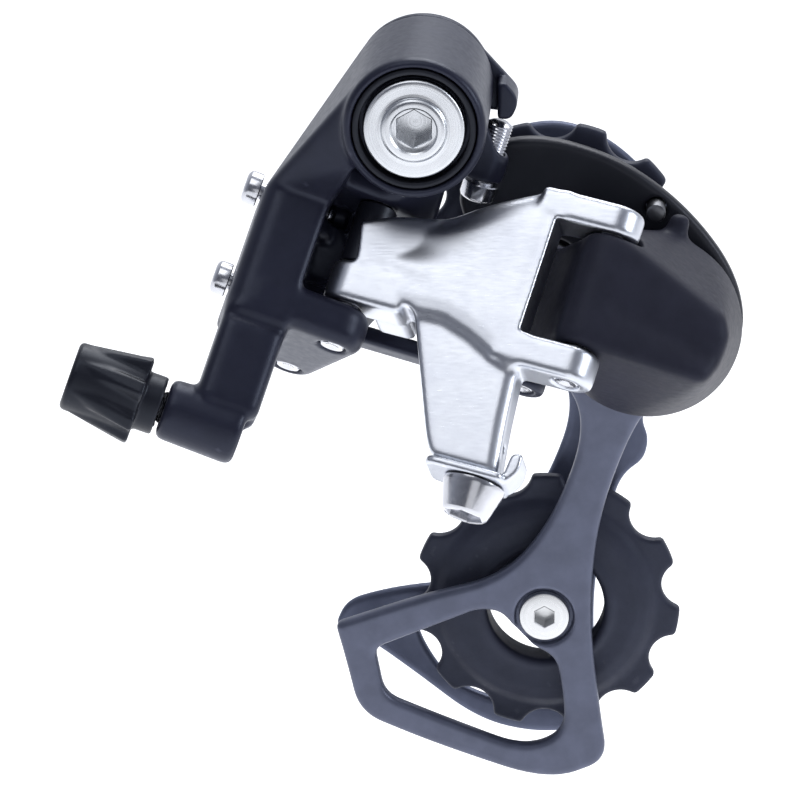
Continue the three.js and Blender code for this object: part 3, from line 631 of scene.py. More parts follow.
PLATE_TONE = (0.088, 0.099, 0.148)
coated("black_knuckle", (0.013, 0.014, 0.027), 0.15, 0.36, 3800, 0.08, (0.04, 0.042, 0.066))
coated("lower_knuckle", (0.017, 0.0175, 0.028), 0.0, 0.50, 2300, 0.25, (0.026, 0.027, 0.04), 0.15)
coated("cage_plate", PLATE_TONE, 0.45, 0.40, 3800, 0.08)
plate_with_painted_shade("outer_plate", PLATE_TONE)
plain_steel("stop_pin", (0.16, 0.165, 0.18), 0.35)
coated("black_resin", (0.007, 0.0075, 0.012), 0.0, 0.38, 3000, 0.12, (0.018, 0.019, 0.028), 0.3)
coated("pulley", (0.022, 0.024, 0.040), 0.0, 0.50, 2100, 0.3, (0.035, 0.037, 0.055), 0.3)
coated("seal", (0.006, 0.006, 0.009), 0.0, 0.45, 3000, 0.15)
silver("silver_link")
plain_steel("spring_steel", (0.30, 0.31, 0.34), 0.34)
plain_steel("polished_steel", (0.60, 0.61, 0.65), 0.20)
turned_steel("hanger_bolt", (0, 0, 0), (0.62, 0.64, 0.67), 0.26, 0.8)
for bolt_name, bolt_place in (("tension_bolt", TENSION), ("guide_bolt", GUIDE)):
    turned_steel(bolt_name, bolt_place, (0.66, 0.67, 0.68), 0.30, 0.3)

# ---- hanger bolt and stop plate -----------------------------------------------------
HEX_KEY = polygon_ring(5.0)


def hanger_mount():
    lathe(("hanger_bolt_turned", "hanger_mount", "hanger_bolt", "b_bolt"), HANGER, [
        (0, -23.2), (HEX_KEY, -23.2), (HEX_KEY, -27.3), (polygon_ring(5.3), -27.45), (3.35, -27.45),
        (3.35, -28.6), (3.6, -28.85), (4.1, -28.85), (4.5, -28.75), (4.76, -28.5), (4.95, -28.15),
        (5.3, -28.02), (5.7, -28.0), (6.8, -28.0), (7.2, -27.93), (7.5, -27.7), (7.6, -27.4),
        (7.6, -25.55), (7.5, -25.4), (5.9, -25.4), (5.9, -4.0), (4.95, -4.0), (4.95, -0.4),
        *[((4.5, 4.93)[i % 2], 0.1 + 0.5 * i) for i in range(17)], (4.1, 8.9), (0, 8.9),
    ], 144)

    cast(("hanger_circlip", "hanger_mount", "spring_steel", "b_circlip"), without(
        cylinder(HANGER, 0, 0, -3.2, -2.4, 7.4, 0.1), cylinder(HANGER, 0, 0, -5, 0, 5.2, 0),
        block(ROW, (-1.2, -4, 0), (1.2, -2, 9), 0)), step=0.16, softness=0)

    ear = rounded([(6, 8.4), (14.2, -0.6, 1), (14.5, -2.2, 1), (13.4, -4.6, 1), (9.6, -4.2), (5.4, 0)])
    flange = rounded([(12.6, 1.2), (14.2, -0.6, 1), (14.5, -2.2, 1), (13.4, -4.6, 1), (11.4, -4.4),
                      (11.4, 1.2)])
    cast(("stop_plate_pressed", "hanger_mount", "black_knuckle", "b_stop_plate"), union(
        cylinder(HANGER, 0, 0, -2, 0, 10.4, 0.3), side_prism(ROW, ear, -2, 0, 0.3),
        side_prism(ROW, flange, -6.5, -1, 0.3)),
        cylinder(HANGER, 0, 0, -5, 5, 5.1, 0), step=0.22, softness=1)


# ---- upper knuckle ------------------------------------------------------------------
BARREL_RADIUS = 10.7
BARREL_FRONT, BARREL_BACK = -28.2, -2.3
LOWER_LUG = (-18.6, -12.1)
OUTER_LUG = (4.6, 8.2)
INNER_LUG = (-1.5, 1.5)
ARM = {"left": -17.2, "right": -7.3, "front": -5.0, "back": 12.0}


def b_screw_frame():
    axis = np.array(JOINT["b_screw_turn"]["axis"])
    side = np.cross(Y, axis)
    return (place("b_screw_turn"), side / np.linalg.norm(side), Y, axis)


B_SCREW = b_screw_frame()
LIMIT_SCREWS = {"high_limit_screw": "high_limit_turn", "low_limit_screw": "low_limit_turn"}


def limit_frame(joint):
    """Frame whose z runs out through the screw's head, from its tip."""
    origin = place(joint)
    tip = origin + (-5.5 - float((origin - OUTER_B) @ U)) * U
    return (tip, N, V, -U)


def under_barrel(x, y):
    return np.array([x, y, -math.sqrt(10.4 ** 2 - x ** 2)])


def upper_knuckle():
    barrel = revolved(HANGER, [
        (-1, BARREL_FRONT + 0.4), (9.2, BARREL_FRONT + 0.4), (9.45, BARREL_FRONT), (9.9, BARREL_FRONT),
        (10.4, BARREL_FRONT + 0.25), (BARREL_RADIUS, BARREL_FRONT + 0.9), (BARREL_RADIUS, BARREL_BACK),
        (-1, BARREL_BACK)])

    def section(s):
        left, right, front, back = (ARM[k] for k in ("left", "right", "front", "back"))
        return [*arc(UPPER, left + 3, front + 3, s, 3, 180, 270, 8),
                at(UPPER, right, front, s), at(UPPER, right, back, s),
                *arc(UPPER, left + 3, back - 3, s, 3, 90, 180, 8)]

    flank = [p for y in (-26.4, -3) for p in arc(HANGER, 0, 0, y, BARREL_RADIUS, 145, 260, 14)]
    shoulder = hull(flank + section(1))
    upright = hull(section(1.5) + section(-19))
    lower_lug = prism(UPPER, [(0, 0), (-12.7, -0.8), (-12, 15), (IU, IV)], *LOWER_LUG, 1.9, 4.35)
    outer_lug = prism(UPPER, [(0, 0), (-11, -1), (-11, 4)], *OUTER_LUG, 0.8, 4.05)
    inner_lug = prism(UPPER, [(IU, IV), (-12, 8), (-9, 7)], *INNER_LUG, 0.5, 4.0)
    cable_arm = prism(UPPER, rounded([(-16.9, -5, 2), (-7.2, -5, 2), (-7.2, 4.4, 0.6),
                                      (-16.9, 4.4, 0.6)]), -34, -17, 1.2)
    boss = revolved(ADJUSTER, [(-1, -20.7), (4.1, -20.7), (4.6, -20.2), (4.9, -9.4), (4.5, -8.6),
                               (-1, -8.5)])
    screw_lug = hull(drum(B_SCREW, 0, 0, 5.2, 9.6, 3.0) + [
        np.array(p, float) for y in (-7.5, -2.6) for p in ((9, y, -4), (1, y, -10))])
    wall = hull([at(UPPER, u, v, s) for u in (-9, -2) for v in (9, 12) for s in (-7, 6)]
                + [under_barrel(x, y) for x in (-5, 1) for y in (-9, -3)])
    rib = hull(drum(UPPER, 0, 0, *OUTER_LUG, 4.0) + drum(UPPER, 6.3, 4.5, 4.8, 9, 2.7)
               + [under_barrel(x, y) for x in (-2, 5) for y in (-18, -6)])
    # Shallow waist between the lug and the cable arm's own face.
    waist = side_prism(UPPER, [(-20, -20.4), (-5, -20.4), (-5, -19.2), (-20, -19.2)], -7, -4.1, 0.3)
    body = without(union(barrel, shoulder, upright, lower_lug, outer_lug, inner_lug, wall, rib,
                         cable_arm, boss, screw_lug), waist)

    bores = [
        cylinder(HANGER, 0, 0, -30, -25.1, 9.35, 0), cylinder(HANGER, 0, 0, -26, -1, 7.1, 0),
        cylinder(HANGER, 0, 0, -10, 2, 9.5, 0),
        cylinder(UPPER, 0, 0, -30, 12, PRESS_BORE, 0), cylinder(UPPER, IU, IV, -30, 12, PRESS_BORE, 0),
        cylinder(ADJUSTER, 0, 0, -30, 0, 2.6, 0), cylinder(B_SCREW, 0, 0, -4, 20, 2.1, 0),
        cylinder(UPPER, 0, 0, LOWER_LUG[1], OUTER_LUG[0], 7.1, 0),
        cylinder(UPPER, IU, IV, LOWER_LUG[1], INNER_LUG[0], 5.2, 0),
        block(UPPER, (0, -5.2, LOWER_LUG[1]), (30, 5.2, OUTER_LUG[0]), 0),
        *[cylinder(limit_frame(joint), 0, 0, -2, 30, 1.75, 0) for joint in LIMIT_SCREWS.values()],
    ]
    cast(("upper_knuckle_cast", "b_knuckle", "black_knuckle", "b_knuckle"),
         body, union(*bores), step=0.36, softness=3)

    ring(("hanger_bushing_ring", "b_knuckle", "black_resin", "b_bushing"), HANGER, 6.1, 7.0, -24.9, -10.2)
    lathe(("hanger_seal_ring", "b_knuckle", "seal", "b_seal_ring"), HANGER, [
        (8.2, -25.3), (8.2, -27.3), (8.3, -27.6), (8.55, -27.75), (8.85, -27.75), (9.1, -27.6),
        (9.2, -27.3), (9.2, -25.3)], 128, closed=True)
    coil(("hanger_torsion_spring", "b_knuckle", "spring_steel", "b_spring"),
         HANGER, 7.9, 0.8, -8.9, -4.2, 2.5)
    coil(("adjuster_detent_spring", "b_knuckle", "spring_steel", "adjuster_spring"),
         ADJUSTER, 3.05, 0.3, -23.8, -21.4, 2)

    for name, joint in LIMIT_SCREWS.items():
        cross_screw(name, name, limit_frame(joint), 1.5, 2.6, 14.5, 2.4)
    cross_screw("stop_screw", "b_screw", B_SCREW, 2.0, 2.8, 13, 3)


def cross_screw(name, node, base, radius, head_radius, head_end, head_height):
    """Threaded screw with a domed, cross-recessed head, from its tip to its head's top."""
    under = head_end - head_height
    half_pitch = 0.25
    thread = [(radius - 0.22 * (i % 2), 0.5 + half_pitch * i)
              for i in range(int((under - 0.9) / half_pitch))]
    recess = cross_ring(head_radius * 0.16, head_radius * 0.62)
    floor = cross_ring(head_radius * 0.12, head_radius * 0.4)
    lathe((name + "_turned", node, "polished_steel", node), base, [
        (0, 0), (radius * 0.6, 0.02), *thread, (radius - 0.2, under), (head_radius - 0.15, under),
        (head_radius, under + 0.15), (head_radius, head_end - 0.75), (head_radius - 0.18, head_end - 0.35),
        (head_radius - 0.6, head_end - 0.08), (head_radius * 0.66, head_end),
        (recess, head_end), (floor, head_end - 1.2), (0, head_end - 1.3)], 96, 40)


# ---- cable adjuster -----------------------------------------------------------------
KNOB = {"outer": -35.4, "flare": -24.4, "neck": -21.2, "ribs": 7}


def cable_adjuster():
    outer, flare, neck = KNOB["outer"], KNOB["flare"], KNOB["neck"]
    shell = revolved(ADJUSTER, [(3.7, outer), (4.7, outer), (5.2, outer + 0.4), (5.5, flare),
                                (4.45, flare), (4.45, neck), (3.7, neck)])
    ribs = []
    for i in range(KNOB["ribs"]):
        base = turned(ADJUSTER, 360 * i / KNOB["ribs"])
        corners = [(4.4, -1.5, outer + 0.4), (4.4, 1.5, outer + 0.4), (5.25, 0, outer + 0.6),
                   (4.4, -0.6, flare + 0.2), (4.4, 3.2, flare + 0.2), (6.6, 2.6, flare + 0.2),
                   (6.7, 0.6, flare + 0.2), (6.0, 0.2, flare - 4)]
        ribs.append(hull([at(base, *corner) for corner in corners]))
    cast(("adjuster_knob_moulded", "cable_adjuster", "black_resin", "adjuster_knob"), union(shell, *ribs),
         cylinder(ADJUSTER, 0, 0, -40, -20, 3.7, 0), step=0.2, softness=2)
    lathe(("adjuster_core_turned", "cable_adjuster", "polished_steel", "adjuster_core"), ADJUSTER, [
        (2.6, -34.8), (2.75, -34.9), (3.25, -34.9), (3.4, -34.75), (3.4, -24.7), (3.3, -24.6),
        (2.45, -24.2), *[(2.45 - 0.25 * (i % 2), -24 + 0.4 * i) for i in range(29)], (2.2, -12.1),
        (2.1, -12), (1.2, -12), (1.1, -12.1), (1.1, -26), (2.6, -26)], 72, closed=True)


# ---- outer link ---------------------------------------------------------------------
FORK_LOW, FORK_HIGH, FORK_WALL = (-14.9, -9.7), (8.7, 13.3), 27.3
ARM_END = -31.5
FACE = rounded([
    (-0.3, -10.9), (5.6, -10.4, 2), (10.7, -10.3, 1.5), (14.1, -18.2, 6), (19.0, -29.8, 4),
    (20.4, -31.5, 0.6), (30.5, -31.5, 0.4), (29.4, -23.7, 4), (28.6, -14.9, 1), (28.6, 13.4, 0),
    (26, 13.4, 3), (20.9, 10.8, 4), (15.7, 8.0, 4), (10.4, 4.2, 3), (4.6, 3.2, 2),
    (-1.2, 0.8, 0.5), (-0.1, -4.6, 0.6)])
RIDGE = np.array([(-3, -12), (5.6, -11), (11.5, -10.2), (15.5, -10.0), (19.9, -11.4), (23.5, -13.2),
                  (26.0, -14.3), (28.6, -14.9), (41, -15.4)])
RIGHT = np.array([(30.5, -31.5), (29.4, -23.7), (28.6, -14.9)])  # the face's right side
FRONT, BACK = -4.0, 3.8
OVER_PIN = np.array([(0, -3.75), (3, -3.65), (6, -3.45), (10, -3.1), (12, -2.0)])  # keeps its bushing in


def link_front(a, s, inset):
    """Depth of the outer link's front skin at a point of its face."""
    ridge = np.interp(a, RIDGE[:, 0], RIDGE[:, 1])
    lip = 0.65 * smoothstep(0.0, 1.8, ridge - s)
    roll = 0.10 * smoothstep(-2.2, 0.0, ridge - s)
    side = np.interp(s, RIGHT[:, 1], RIGHT[:, 0]) - 1.5
    chamfer = 0.5 * np.maximum(a - side, 0) * (s < -15.2)
    waist = -4.0 - 0.06 * a
    hollow = 0.8 * (1 - smoothstep(4, 18, a)) * smoothstep(0, 4.6, s - waist)
    upper = smoothstep(-8, -3, s) * (1 - smoothstep(25, 27.5, a))
    width = 6.5 - 2.5 * smoothstep(6, 20, a)
    crown = 0.45 * width * (1 - np.sqrt(1 - np.clip(1 + inset / width, 0, 0.98) ** 2)) * upper
    tilt = 0.004 * np.maximum(16 - a, 0) ** 2
    over_pin = np.interp(a, OVER_PIN[:, 0], OVER_PIN[:, 1])
    return np.minimum(FRONT + lip + roll + chamfer + tilt + np.maximum(hollow, crown), over_pin)


def outer_link():
    def skin(points):
        a, d, s = into(LINK, points)
        inset = polygon_distance(a, s, FACE)
        return np.maximum.reduce([inset, link_front(a, s, inset) - d, d - BACK])

    def stadium(start, end, radius):
        angles = np.radians(np.linspace(-90, 90, 25))
        tip = [(end + radius * math.cos(q), radius * math.sin(q)) for q in angles]
        return [(start, -radius), *tip, (start, radius)]

    arms = [prism(LINK, stadium(24, LINK_LENGTH, 4), *span, 0.7) for span in (FORK_LOW, FORK_HIGH)]
    foot = prism(LINK, [(-x, y) for x, y in stadium(-9, 0, 3.7)], -11.8, -5.4, 0.8)
    heel = block(LINK, (3.4, 3.0, -11.4), (9.4, 10.5, -7.6), 1.0)
    pocket = side_prism(LINK, rounded([
        (5, -8.4, 1), (11.5, -8.4, 2), (25, -12.4, 1), (25, 10.4, 2), (20, 7.4, 3), (10, 1.0, 3),
        (5, 0.2, 1)]), -1.2, 6, 0)
    cuts = union(
        block(LINK, (FORK_WALL, -6, FORK_LOW[1]), (45, 6, FORK_HIGH[0]), 0), pocket,
        cylinder(LINK, 0, 0, -20, 6, RUNNING_BORE, 0), cylinder(LINK, 0, 0, -5.4, 6, BUSHING_SEAT, 0),
        cylinder(LINK, LINK_LENGTH, 0, -20, 20, PRESS_BORE, 0),
        cylinder(LINK, ANCHOR_A, 0, -40, -26.5, 2.4, 0))
    cast(("outer_link_forged", "outer_link", "silver_link", "outer_link"),
         union(skin, *arms, foot, heel), cuts, step=0.27, softness=3)

    ring(("outer_link_bushing_ring", "outer_link", "black_resin", "link_bushing_outer_b"),
         LINK, RUNNING_BORE, 3.0, -5.2, 4.3)
    link_pin("link_pin_outer_b", UPPER, -18.4, 8.0, "b_knuckle")
    link_pin("link_pin_outer_p", LOWER, -14.7, 13.1, "outer_link")

    anchor = moved(LINK, ANCHOR_A)
    washer_base = moved(anchor, z=ARM_END - 0.2)
    washer = prism(washer_base, rounded([(-7.4, -5, 2), (4.6, -5, 1), (4.6, 4.6, 1), (-7.4, 4.6, 2)]),
                   -1.4, -0.1, 0.3)
    tab = side_prism(washer_base, rounded([
        (2.6, -1.4), (4.8, -1.4, 1), (6.5, 1.0, 1.2), (6.3, 4.0, 0.8), (4.6, 3.4, 0.5), (4.3, 0, 0.6),
        (2.6, -0.1)]), -3.6, 3.2, 0.3)
    cast(("cable_clamp_pressed", "outer_link", "silver_link", "cable_clamp_plate"), union(washer, tab),
         cylinder(anchor, 0, 0, -40, -25, 2.45, 0), step=0.2, softness=1)
    lathe(("cable_anchor_turned", "cable_anchor_bolt", "polished_steel", "cable_anchor_bolt"), anchor, [
        (0, -35.0), (HEX_KEY, -35.0), (HEX_KEY, -38.1), (polygon_ring(5.4), -38.4), (3.0, -38.4),
        (3.35, -38.2), (3.55, -37.85), (4.6, -34.1), (4.7, -33.85), (4.7, -33.4), (4.6, -33.3),
        (2.3, -33.3), *[(2.3 - 0.25 * (i % 2), -33.0 + 0.4 * i) for i in range(15)],
        (1.9, -27), (0, -27)], 96)


def link_pin(node, base, low, high, body):
    """Pivot pin with chamfered, dimpled ends."""
    lathe((node + "_turned", body, "polished_steel", node), base, [
        (0, low + 0.35), (0.5, low + 0.3), (1.0, low + 0.02), (1.7, low), (2.0, low + 0.3),
        (2.0, high - 0.3), (1.7, high), (1.0, high - 0.02), (0.5, high - 0.3), (0, high - 0.35)], 48)


# ---- inner link and return spring ---------------------------------------------------
def inner_link():
    def arm(pin, boss, root, low, high):
        return hull(drum(INNER_LINK, pin, 0, low, high, boss) + drum(INNER_LINK, root, 0, low, high, 2.3))

    face = rounded([(1, -11.8), (27, -12.6), (27, 10.2), (22, 8.4, 3), (10, -1.6, 3), (1, -1.9)])
    body = union(
        side_prism(INNER_LINK, face, -2.2, 2.4, 0.5), arm(0, 3.8, 6, -11.8, -1.9),
        arm(LINK_LENGTH, 3.6, 24, -12.6, -9.9), arm(LINK_LENGTH, 3.6, 24, 8.7, 10.2))
    window = rounded([(9, -9.4, 1), (24, -10, 1), (24, 6.4, 1), (12, -3.4, 1)])
    cuts = union(
        side_prism(INNER_LINK, window, -6, 6, 0),
        block(INNER_LINK, (23, -6, -5.4), (28, 6, 1.4), 0),
        cylinder(INNER_LINK, 0, 0, -20, 20, RUNNING_BORE, 0),
        cylinder(INNER_LINK, LINK_LENGTH, 0, -20, 20, PRESS_BORE, 0))
    cast(("inner_link_cast", "inner_link", "black_knuckle", "inner_link"), body, cuts, step=0.3, softness=2)
    link_pin("link_pin_inner_b", moved(UPPER, IU, IV), -18.4, 1.3, "b_knuckle")
    link_pin("link_pin_inner_p", moved(LOWER, IU, IV), -12.4, 10.0, "inner_link")


def return_spring():
    """Coil across the parallelogram's diagonal, from the upper knuckle's outer pin towards the lower
    knuckle's inner pin.
    """
    start, end = at(UPPER, 0, 0, -2), at(LOWER, IU, IV, -2)
    length = float(np.linalg.norm(end - start))
    axis = (end - start) / length
    side = np.cross(N, axis)
    side /= np.linalg.norm(side)
    base = (start, side, np.cross(axis, side), axis)
    spring = coil(("return_spring_wound", None, "spring_steel", "return_spring"),
                  base, 2.3, 0.42, 9.5, length - 6.6, 8)
    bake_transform(spring)


# ---- lower knuckle ------------------------------------------------------------------
BLOCK_SPAN = (-9.4, 8.4)  # between the fork's arms
CAGE_BARREL_RADIUS = 14.4
TRAVEL = JOINT["link_swing"]["range_deg"][1]
REST_ANGLE = math.degrees(math.atan2(float(A @ V), float(A @ U)))


def around_cage(radius, degrees, y):
    q = math.radians(degrees)
    return np.array([CAGE_PIVOT[0] + radius * math.cos(q), y, CAGE_PIVOT[2] + radius * math.sin(q)])


def lower_knuckle():
    front = [at(LOWER, x, -4, s) for x, s in (
        (-1, 8.4), (4.2, 7.4), (11, 4.8), (19.4, 1.8), (20.8, -1), (20.4, -6), (19.4, -8.8),
        (3.3, -9.4), (-1, -9.4))]
    main = hull([*front, *drum(CAGE, 0, 0, -6, -0.9, CAGE_BARREL_RADIUS, 40),
                 *drum(LOWER, 0, 0, *BLOCK_SPAN, 4, 24)])
    inner = hull([*drum(LOWER, IU, IV, *BLOCK_SPAN, 4), *drum(LOWER, 0, 0, *BLOCK_SPAN, 3.5),
                  *drum(CAGE, 0, 0, -12, -3, 9)])
    stop = hull([around_cage(r, q, y) for y in (-4.2, -1.1) for q in (68, 80.5) for r in (12, 18.4)])

    def crease(points):
        """Long shallow hollow across the front, between two soft bulges."""
        x, y, z = into(LOWER, points)
        t = np.clip((x - 6) / 16, 0, 1)
        return np.hypot(np.hypot(y + 6.9 - 0.5 * t, z + 2.4 + 2.2 * t), np.maximum(4 - x, 0)) - 3.4

    def room(x, y, low, high):
        points = drum(LOWER, x, y, low, high, 4.6)
        for q in np.radians([180 + REST_ANGLE, 180 + REST_ANGLE + TRAVEL]):
            points += drum(LOWER, x + 14 * math.cos(q), y + 14 * math.sin(q), low, high, 4.6)
        return hull(points)

    rooms = [room(x, y, low, high) for x, y in ((0, 0), (IU, IV))
             for low, high in ((BLOCK_SPAN[1], 16), (-20, BLOCK_SPAN[0]))]
    cuts = union(
        cylinder(CAGE, 0, 0, -11, 2, 8.8, 0), cylinder(CAGE, 0, 0, -16, 0, 5.6, 0),
        cylinder(CAGE, 0, 0, -18.6, 0, 3.4, 0), cylinder(LOWER, 0, 0, -20, 20, RUNNING_BORE, 0),
        cylinder(LOWER, IU, IV, -20, 20, LOOSE_BORE, 0), *rooms)
    cast(("lower_knuckle_moulded", "p_knuckle", "lower_knuckle", "p_knuckle"),
         without(union(main, inner, stop), crease), cuts, step=0.35, softness=14)
    ring(("cage_pivot_bushing", "p_knuckle", "black_resin", "p_bushing"), CAGE, 4.15, 5.5, -15.8, -11.2)
    coil(("cage_torsion_spring", "p_knuckle", "spring_steel", "p_spring"), CAGE, 7.2, 0.8, -9.8, -2.4, 3)


# ---- cage ---------------------------------------------------------------------------
TEETH, TIP_RADIUS, ROLLER_CIRCLE, ROLLER_SEAT = 11, 21.3, 22.54, 4.0
OUTER_PLATE, INNER_PLATE = (1.2, 4.0), (13.8, 15.8)
HUB_HALF_WIDTH = 3.85
BOLT_BORE, BOLT_SINK = 2.7, 4.7  # a pulley bolt's hole and the recess for its head
TRIM = 0.12  # what a plate's rim stays inside its outline


def pulley(node, centre, phase):
    base = moved(across(centre), z=centre[1])
    seats = [turned(base, -phase - (i + 0.5) * 360 / TEETH) for i in range(TEETH)]
    rim = revolved(base, [(9.3, -2.6), (9.7, -3.05), (10.6, -3.1), (11.2, -2.7), (12.6, -2.6),
                          (14.4, -2.6), (16.2, -2.1), (17.6, -1.2), (17.6, 1.2), (16.2, 2.1),
                          (14.4, 2.6), (12.6, 2.6), (11.2, 2.7), (10.6, 3.1), (9.7, 3.05), (9.3, 2.6)])
    wheel = without(cylinder(base, 0, 0, -1.1, 1.1, TIP_RADIUS, 0.25),
                    cylinder(base, 0, 0, -3, 3, 9.3, 0),
                    *[cylinder(seat, ROLLER_CIRCLE, 0, -3, 3, ROLLER_SEAT, 0) for seat in seats])
    hub = cylinder(base, 0, 0, -HUB_HALF_WIDTH, HUB_HALF_WIDTH, 5.0, 0.3)
    spokes = [block(turned(base, -q), (4.4, -1.4, -1.8), (10.2, 1.4, 1.8), 0.5) for q in (45, 165, 285)]
    cast((node + "_moulded", node, "pulley", node), union(wheel, rim, hub, *spokes),
         cylinder(base, 0, 0, -6, 6, 3.2, 0), step=0.25, softness=2)


def cage_plate(node, look, outline, window, span, edge, bores):
    """Plate in the row's x, z with a window, both chamfered, between two values of its y."""
    def field(points):
        x, y, z = into(ROW, points)
        face = slab(y, *span)
        rim = polygon_distance(x, z, outline) + TRIM
        hole = -polygon_distance(x, z, window)
        return np.maximum.reduce([rim, face, (rim + face + edge) * 0.7071,
                                  hole, (hole + face + edge) * 0.7071])

    cast((node + "_cut", "cage", look, node), field, union(*bores), step=0.3, softness=1)


def cage():
    outer = rounded([
        (4.9, -19.1, 2), (9.3, -10.6, 2.5), (18, -9.0, 7), (30, -12.6, 8), (40.5, -20.4, 9),
        (48.4, -31, 8), (50.0, -42, 8), (41.5, -52.5, 6), (34.4, -53.6, 2), (31.6, -59, 8),
        (28.2, -69, 10), (26.6, -79, 10), (26.4, -91, 8), (28.2, -105, 4), (29.4, -112.6, 3.5),
        (20, -116.6, 8), (2, -110.6, 12), (-10.4, -105.4, 4), (-12.6, -96, 5), (-14.2, -90.2, 1),
        (0, -85.0, 6), (12.4, -81.6, 10), (19.6, -72.6, 9), (24.4, -59.6, 6), (23.9, -51.5, 5),
        (16, -43.5, 6), (8.4, -32, 6)], 12)
    outer_window = rounded([
        (-7.8, -94.2, 1.5), (8.5, -87.2, 1.5), (12.2, -87.4, 2), (16.2, -92.6, 2.5), (20.8, -95.0, 2),
        (21.9, -99.7, 8), (22.6, -107.8, 4), (16, -110.9, 5), (3, -106.0, 10), (-6.2, -102.2, 2.5)], 10)
    stop_pin = around_cage(17.2, 87, 0)
    cage_plate("cage_outer_plate", "outer_plate", outer, outer_window, OUTER_PLATE, 0.55, [
        cylinder(across(c), 0, 0, -5, y, r, 0) for c, y, r in (
            (CAGE_PIVOT, 9, 4.1), (GUIDE, 9, BOLT_BORE), (GUIDE, 2.5, BOLT_SINK),
            (TENSION, 9, BOLT_BORE), (TENSION, 2.5, BOLT_SINK), (stop_pin, 9, 1.6))])
    inner = rounded([
        (2.4, -30, 8), (6.5, -14.5, 8), (19, -9.4, 9), (30, -14, 9), (39, -25, 8), (40, -38, 8),
        (36.4, -52, 8), (33.6, -59, 3), (35, -62.6, 1.5), (34.3, -66, 1.5), (30.6, -69, 3),
        (27.6, -80, 8), (26.4, -91, 8), (27.2, -104, 4), (27, -112, 3.5), (18, -113.6, 7),
        (8, -111.4, 7), (-2.4, -103.2, 6), (-9.2, -98.2, 3), (-15.2, -95.6, 1.5), (-13.2, -91, 3),
        (-5.4, -88.6, 5), (5, -87.2, 6), (12, -81, 10), (18.9, -69.4, 9), (23, -57.4, 8),
        (19.6, -48.4, 8), (6.4, -41.6, 8)], 12)
    inner_window = rounded([
        (-2.2, -93.6, 2), (9, -89.6, 1.5), (12.2, -91, 2), (14.4, -94.6, 3), (20.0, -95.8, 2),
        (22.2, -101, 4), (21.6, -108.2, 3), (11, -107.8, 4), (3.4, -104.4, 5), (-0.6, -98.4, 4)], 10)
    cage_plate("cage_inner_plate", "cage_plate", inner, inner_window, INNER_PLATE, 0.4,
               [cylinder(across(c), 0, 0, 9, 20, BOLT_BORE, 0) for c in (GUIDE, TENSION)])

    lathe(("cage_axle_turned", "cage", "polished_steel", "p_axle"), CAGE, [
        (0, -18.2), (2.6, -18.2), (3.0, -17.8), (3.0, -15.9), (4.0, -15.6), (4.0, 4.05), (5.5, 4.1),
        (5.6, 4.2), (5.6, 4.7), (5.4, 4.9), (5.1, 5.0), (0, 5.0)])
    ring(("cage_seal_ring", "cage", "seal", "p_seal_ring"), CAGE, 9.8, 12.6, -0.6, 0.9, 0.3, 96)
    lathe(("cage_stop_pin_turned", "cage", "stop_pin", "cage_stop_pin"), across(stop_pin), [
        (0, -1.9), (1.1, -1.9), (1.4, -1.75), (1.5, -1.5), (1.5, 3.8), (1.4, 3.9), (0, 3.9)], 40)

    for name, centre, phase in (("guide", GUIDE, 90 + 180 / TEETH), ("tension", TENSION, 90)):
        base = across(centre)
        pulley(f"{name}_pulley", centre, phase)
        for sleeve, node, outside, low, high in (
                ("bushing", "pulley_bushing", 3.1, 5.15, 12.65),
                ("outer_cap", "cap_outer", 4.8, 4.1, 4.85), ("inner_cap", "cap_inner", 4.8, 12.9, 13.7)):
            ring((f"{name}_{sleeve}_ring", "cage", "polished_steel", f"{name}_{node}"),
                 base, 2.6, outside, low, high)
        key = polygon_ring(3.0)
        lathe((f"{name}_bolt_turned", "cage", f"{name}_bolt", f"{name}_pulley_bolt"), base, [
            (0, 3.6), (key, 3.6), (key, 1.45), (polygon_ring(3.3), 1.3), (3.6, 1.3), (3.85, 1.4),
            (4.0, 1.65), (4.0, 2.3), (3.9, 2.4), (2.5, 2.4), (2.5, 16.4), (2.3, 16.6), (0, 16.6)])


# ---- studio -------------------------------------------------------------------------
VIEW_AZIMUTH, VIEW_ELEVATION = 3.4, 19.3
CAMERA_PLACE = (0.0415, -0.7607, 0.2150)
LENS = 234.0
FLOOR_GAP = 0.25  # below the part's lowest point
WORLD_TONES = [(0.0, (0.10, 0.105, 0.13)), (0.5, (0.34, 0.36, 0.42)), (1.0, (0.80, 0.82, 0.88))]
LIT = (0, -0.02, -0.05)  # the place that every lamp faces
LAMPS = [  # name, place in metres, size, watts, tone
    ("front_fill", (0.10, -1.25, 0.12), 0.60, 0.8, (1.0, 1.0, 1.0)),
    ("top_softbox", (-0.12, -0.30, 0.66), 0.50, 1.4, (1.0, 1.0, 1.0)),
    ("back_softbox", (0.15, 0.45, 0.60), 0.6, 4.5, (1.0, 1.0, 1.0)),
    ("right_softbox", (0.70, -0.20, 0.25), 0.35, 2.2, (0.93, 0.96, 1.0)),
]


def area_light(name, place_m, size, watts, tone):
    light = bpy.data.lights.new(name, "AREA")
    light.shape = "RECTANGLE"
    light.size = light.size_y = size
    light.energy = watts
    light.color = tone
    lamp = added(name, light)
    lamp.location = place_m
    lamp.rotation_euler = (Vector(LIT) - Vector(place_m)).to_track_quat("-Z", "Y").to_euler()


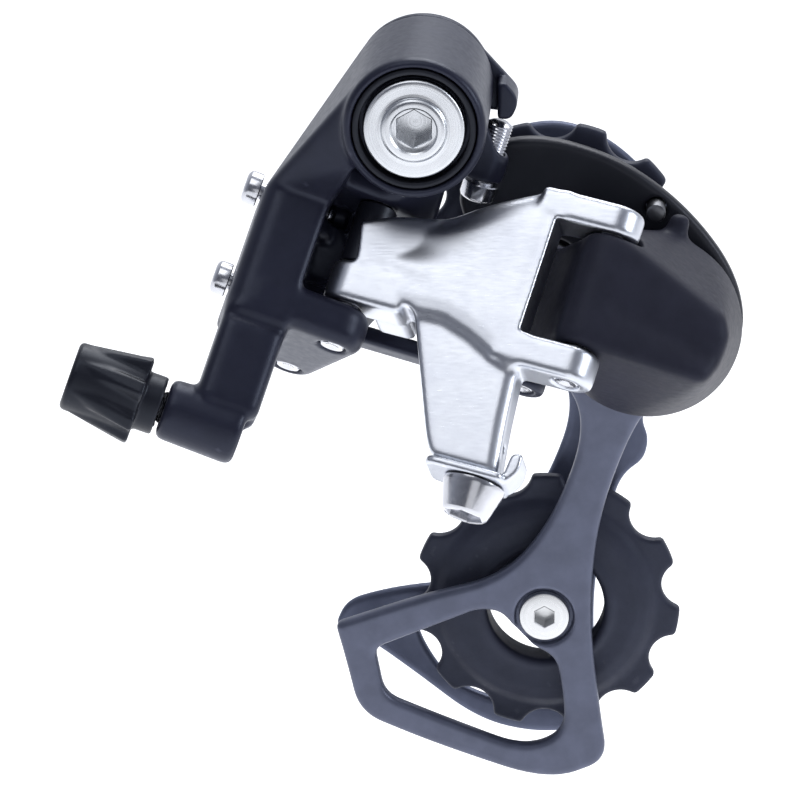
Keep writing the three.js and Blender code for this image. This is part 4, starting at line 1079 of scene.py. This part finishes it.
def studio():
    camera = bpy.data.cameras.new("camera")
    camera.lens = LENS
    camera.sensor_width = 36
    camera.clip_end = 20
    eye = added("camera", camera)
    eye.location = CAMERA_PLACE
    eye.rotation_euler = (math.radians(90 - VIEW_ELEVATION), 0, math.radians(VIEW_AZIMUTH))
    bpy.context.scene.camera = eye
    bpy.context.scene.view_settings.view_transform = "Standard"

    mesh = bpy.data.meshes.new("floor")
    low = CAD_BOX[0][2] - FLOOR_GAP
    mesh.from_pydata([(-6, -6, low), (6, -6, low), (6, 6, low), (-6, 6, low)], [], [(0, 1, 2, 3)])
    floor = added("floor", mesh)
    paper = Surface("floor_paper", Roughness=0.9, Specular_IOR_Level=0.0, Emission_Strength=0.80)
    paper.shader.inputs["Emission Color"].default_value = (1, 1, 1, 1)
    paper.colour(paper.ramp(paper.noise(30, 2), (0.3, (0.90, 0.90, 0.91)), (0.7, (0.93, 0.93, 0.93))))
    mesh.materials.append(MATERIAL["floor_paper"])

    world = bpy.data.worlds.new("studio")
    bpy.context.scene.world = world
    world.use_nodes = True
    nodes, links = world.node_tree.nodes, world.node_tree.links
    coordinates = nodes.new("ShaderNodeTexCoord")
    split = nodes.new("ShaderNodeSeparateXYZ")
    ramp = nodes.new("ShaderNodeValToRGB")
    elements = ramp.color_ramp.elements
    elements.new(0.5)
    # From behind the camera, through the sides, to the far background.
    for element, (position, tone) in zip(elements, WORLD_TONES):
        element.position, element.color = position, (*tone, 1)
    spread = nodes.new("ShaderNodeMapRange")
    spread.inputs["From Min"].default_value = -1
    links.new(coordinates.outputs["Generated"], split.inputs["Vector"])
    links.new(split.outputs["Y"], spread.inputs["Value"])
    links.new(spread.outputs["Result"], ramp.inputs["Fac"])
    links.new(ramp.outputs["Color"], nodes["Background"].inputs["Color"])
    nodes["Background"].inputs["Strength"].default_value = 1.0

    for lamp in LAMPS:
        area_light(*lamp)


hanger_mount()
upper_knuckle()
cable_adjuster()
outer_link()
inner_link()
return_spring()
lower_knuckle()
cage()
studio()
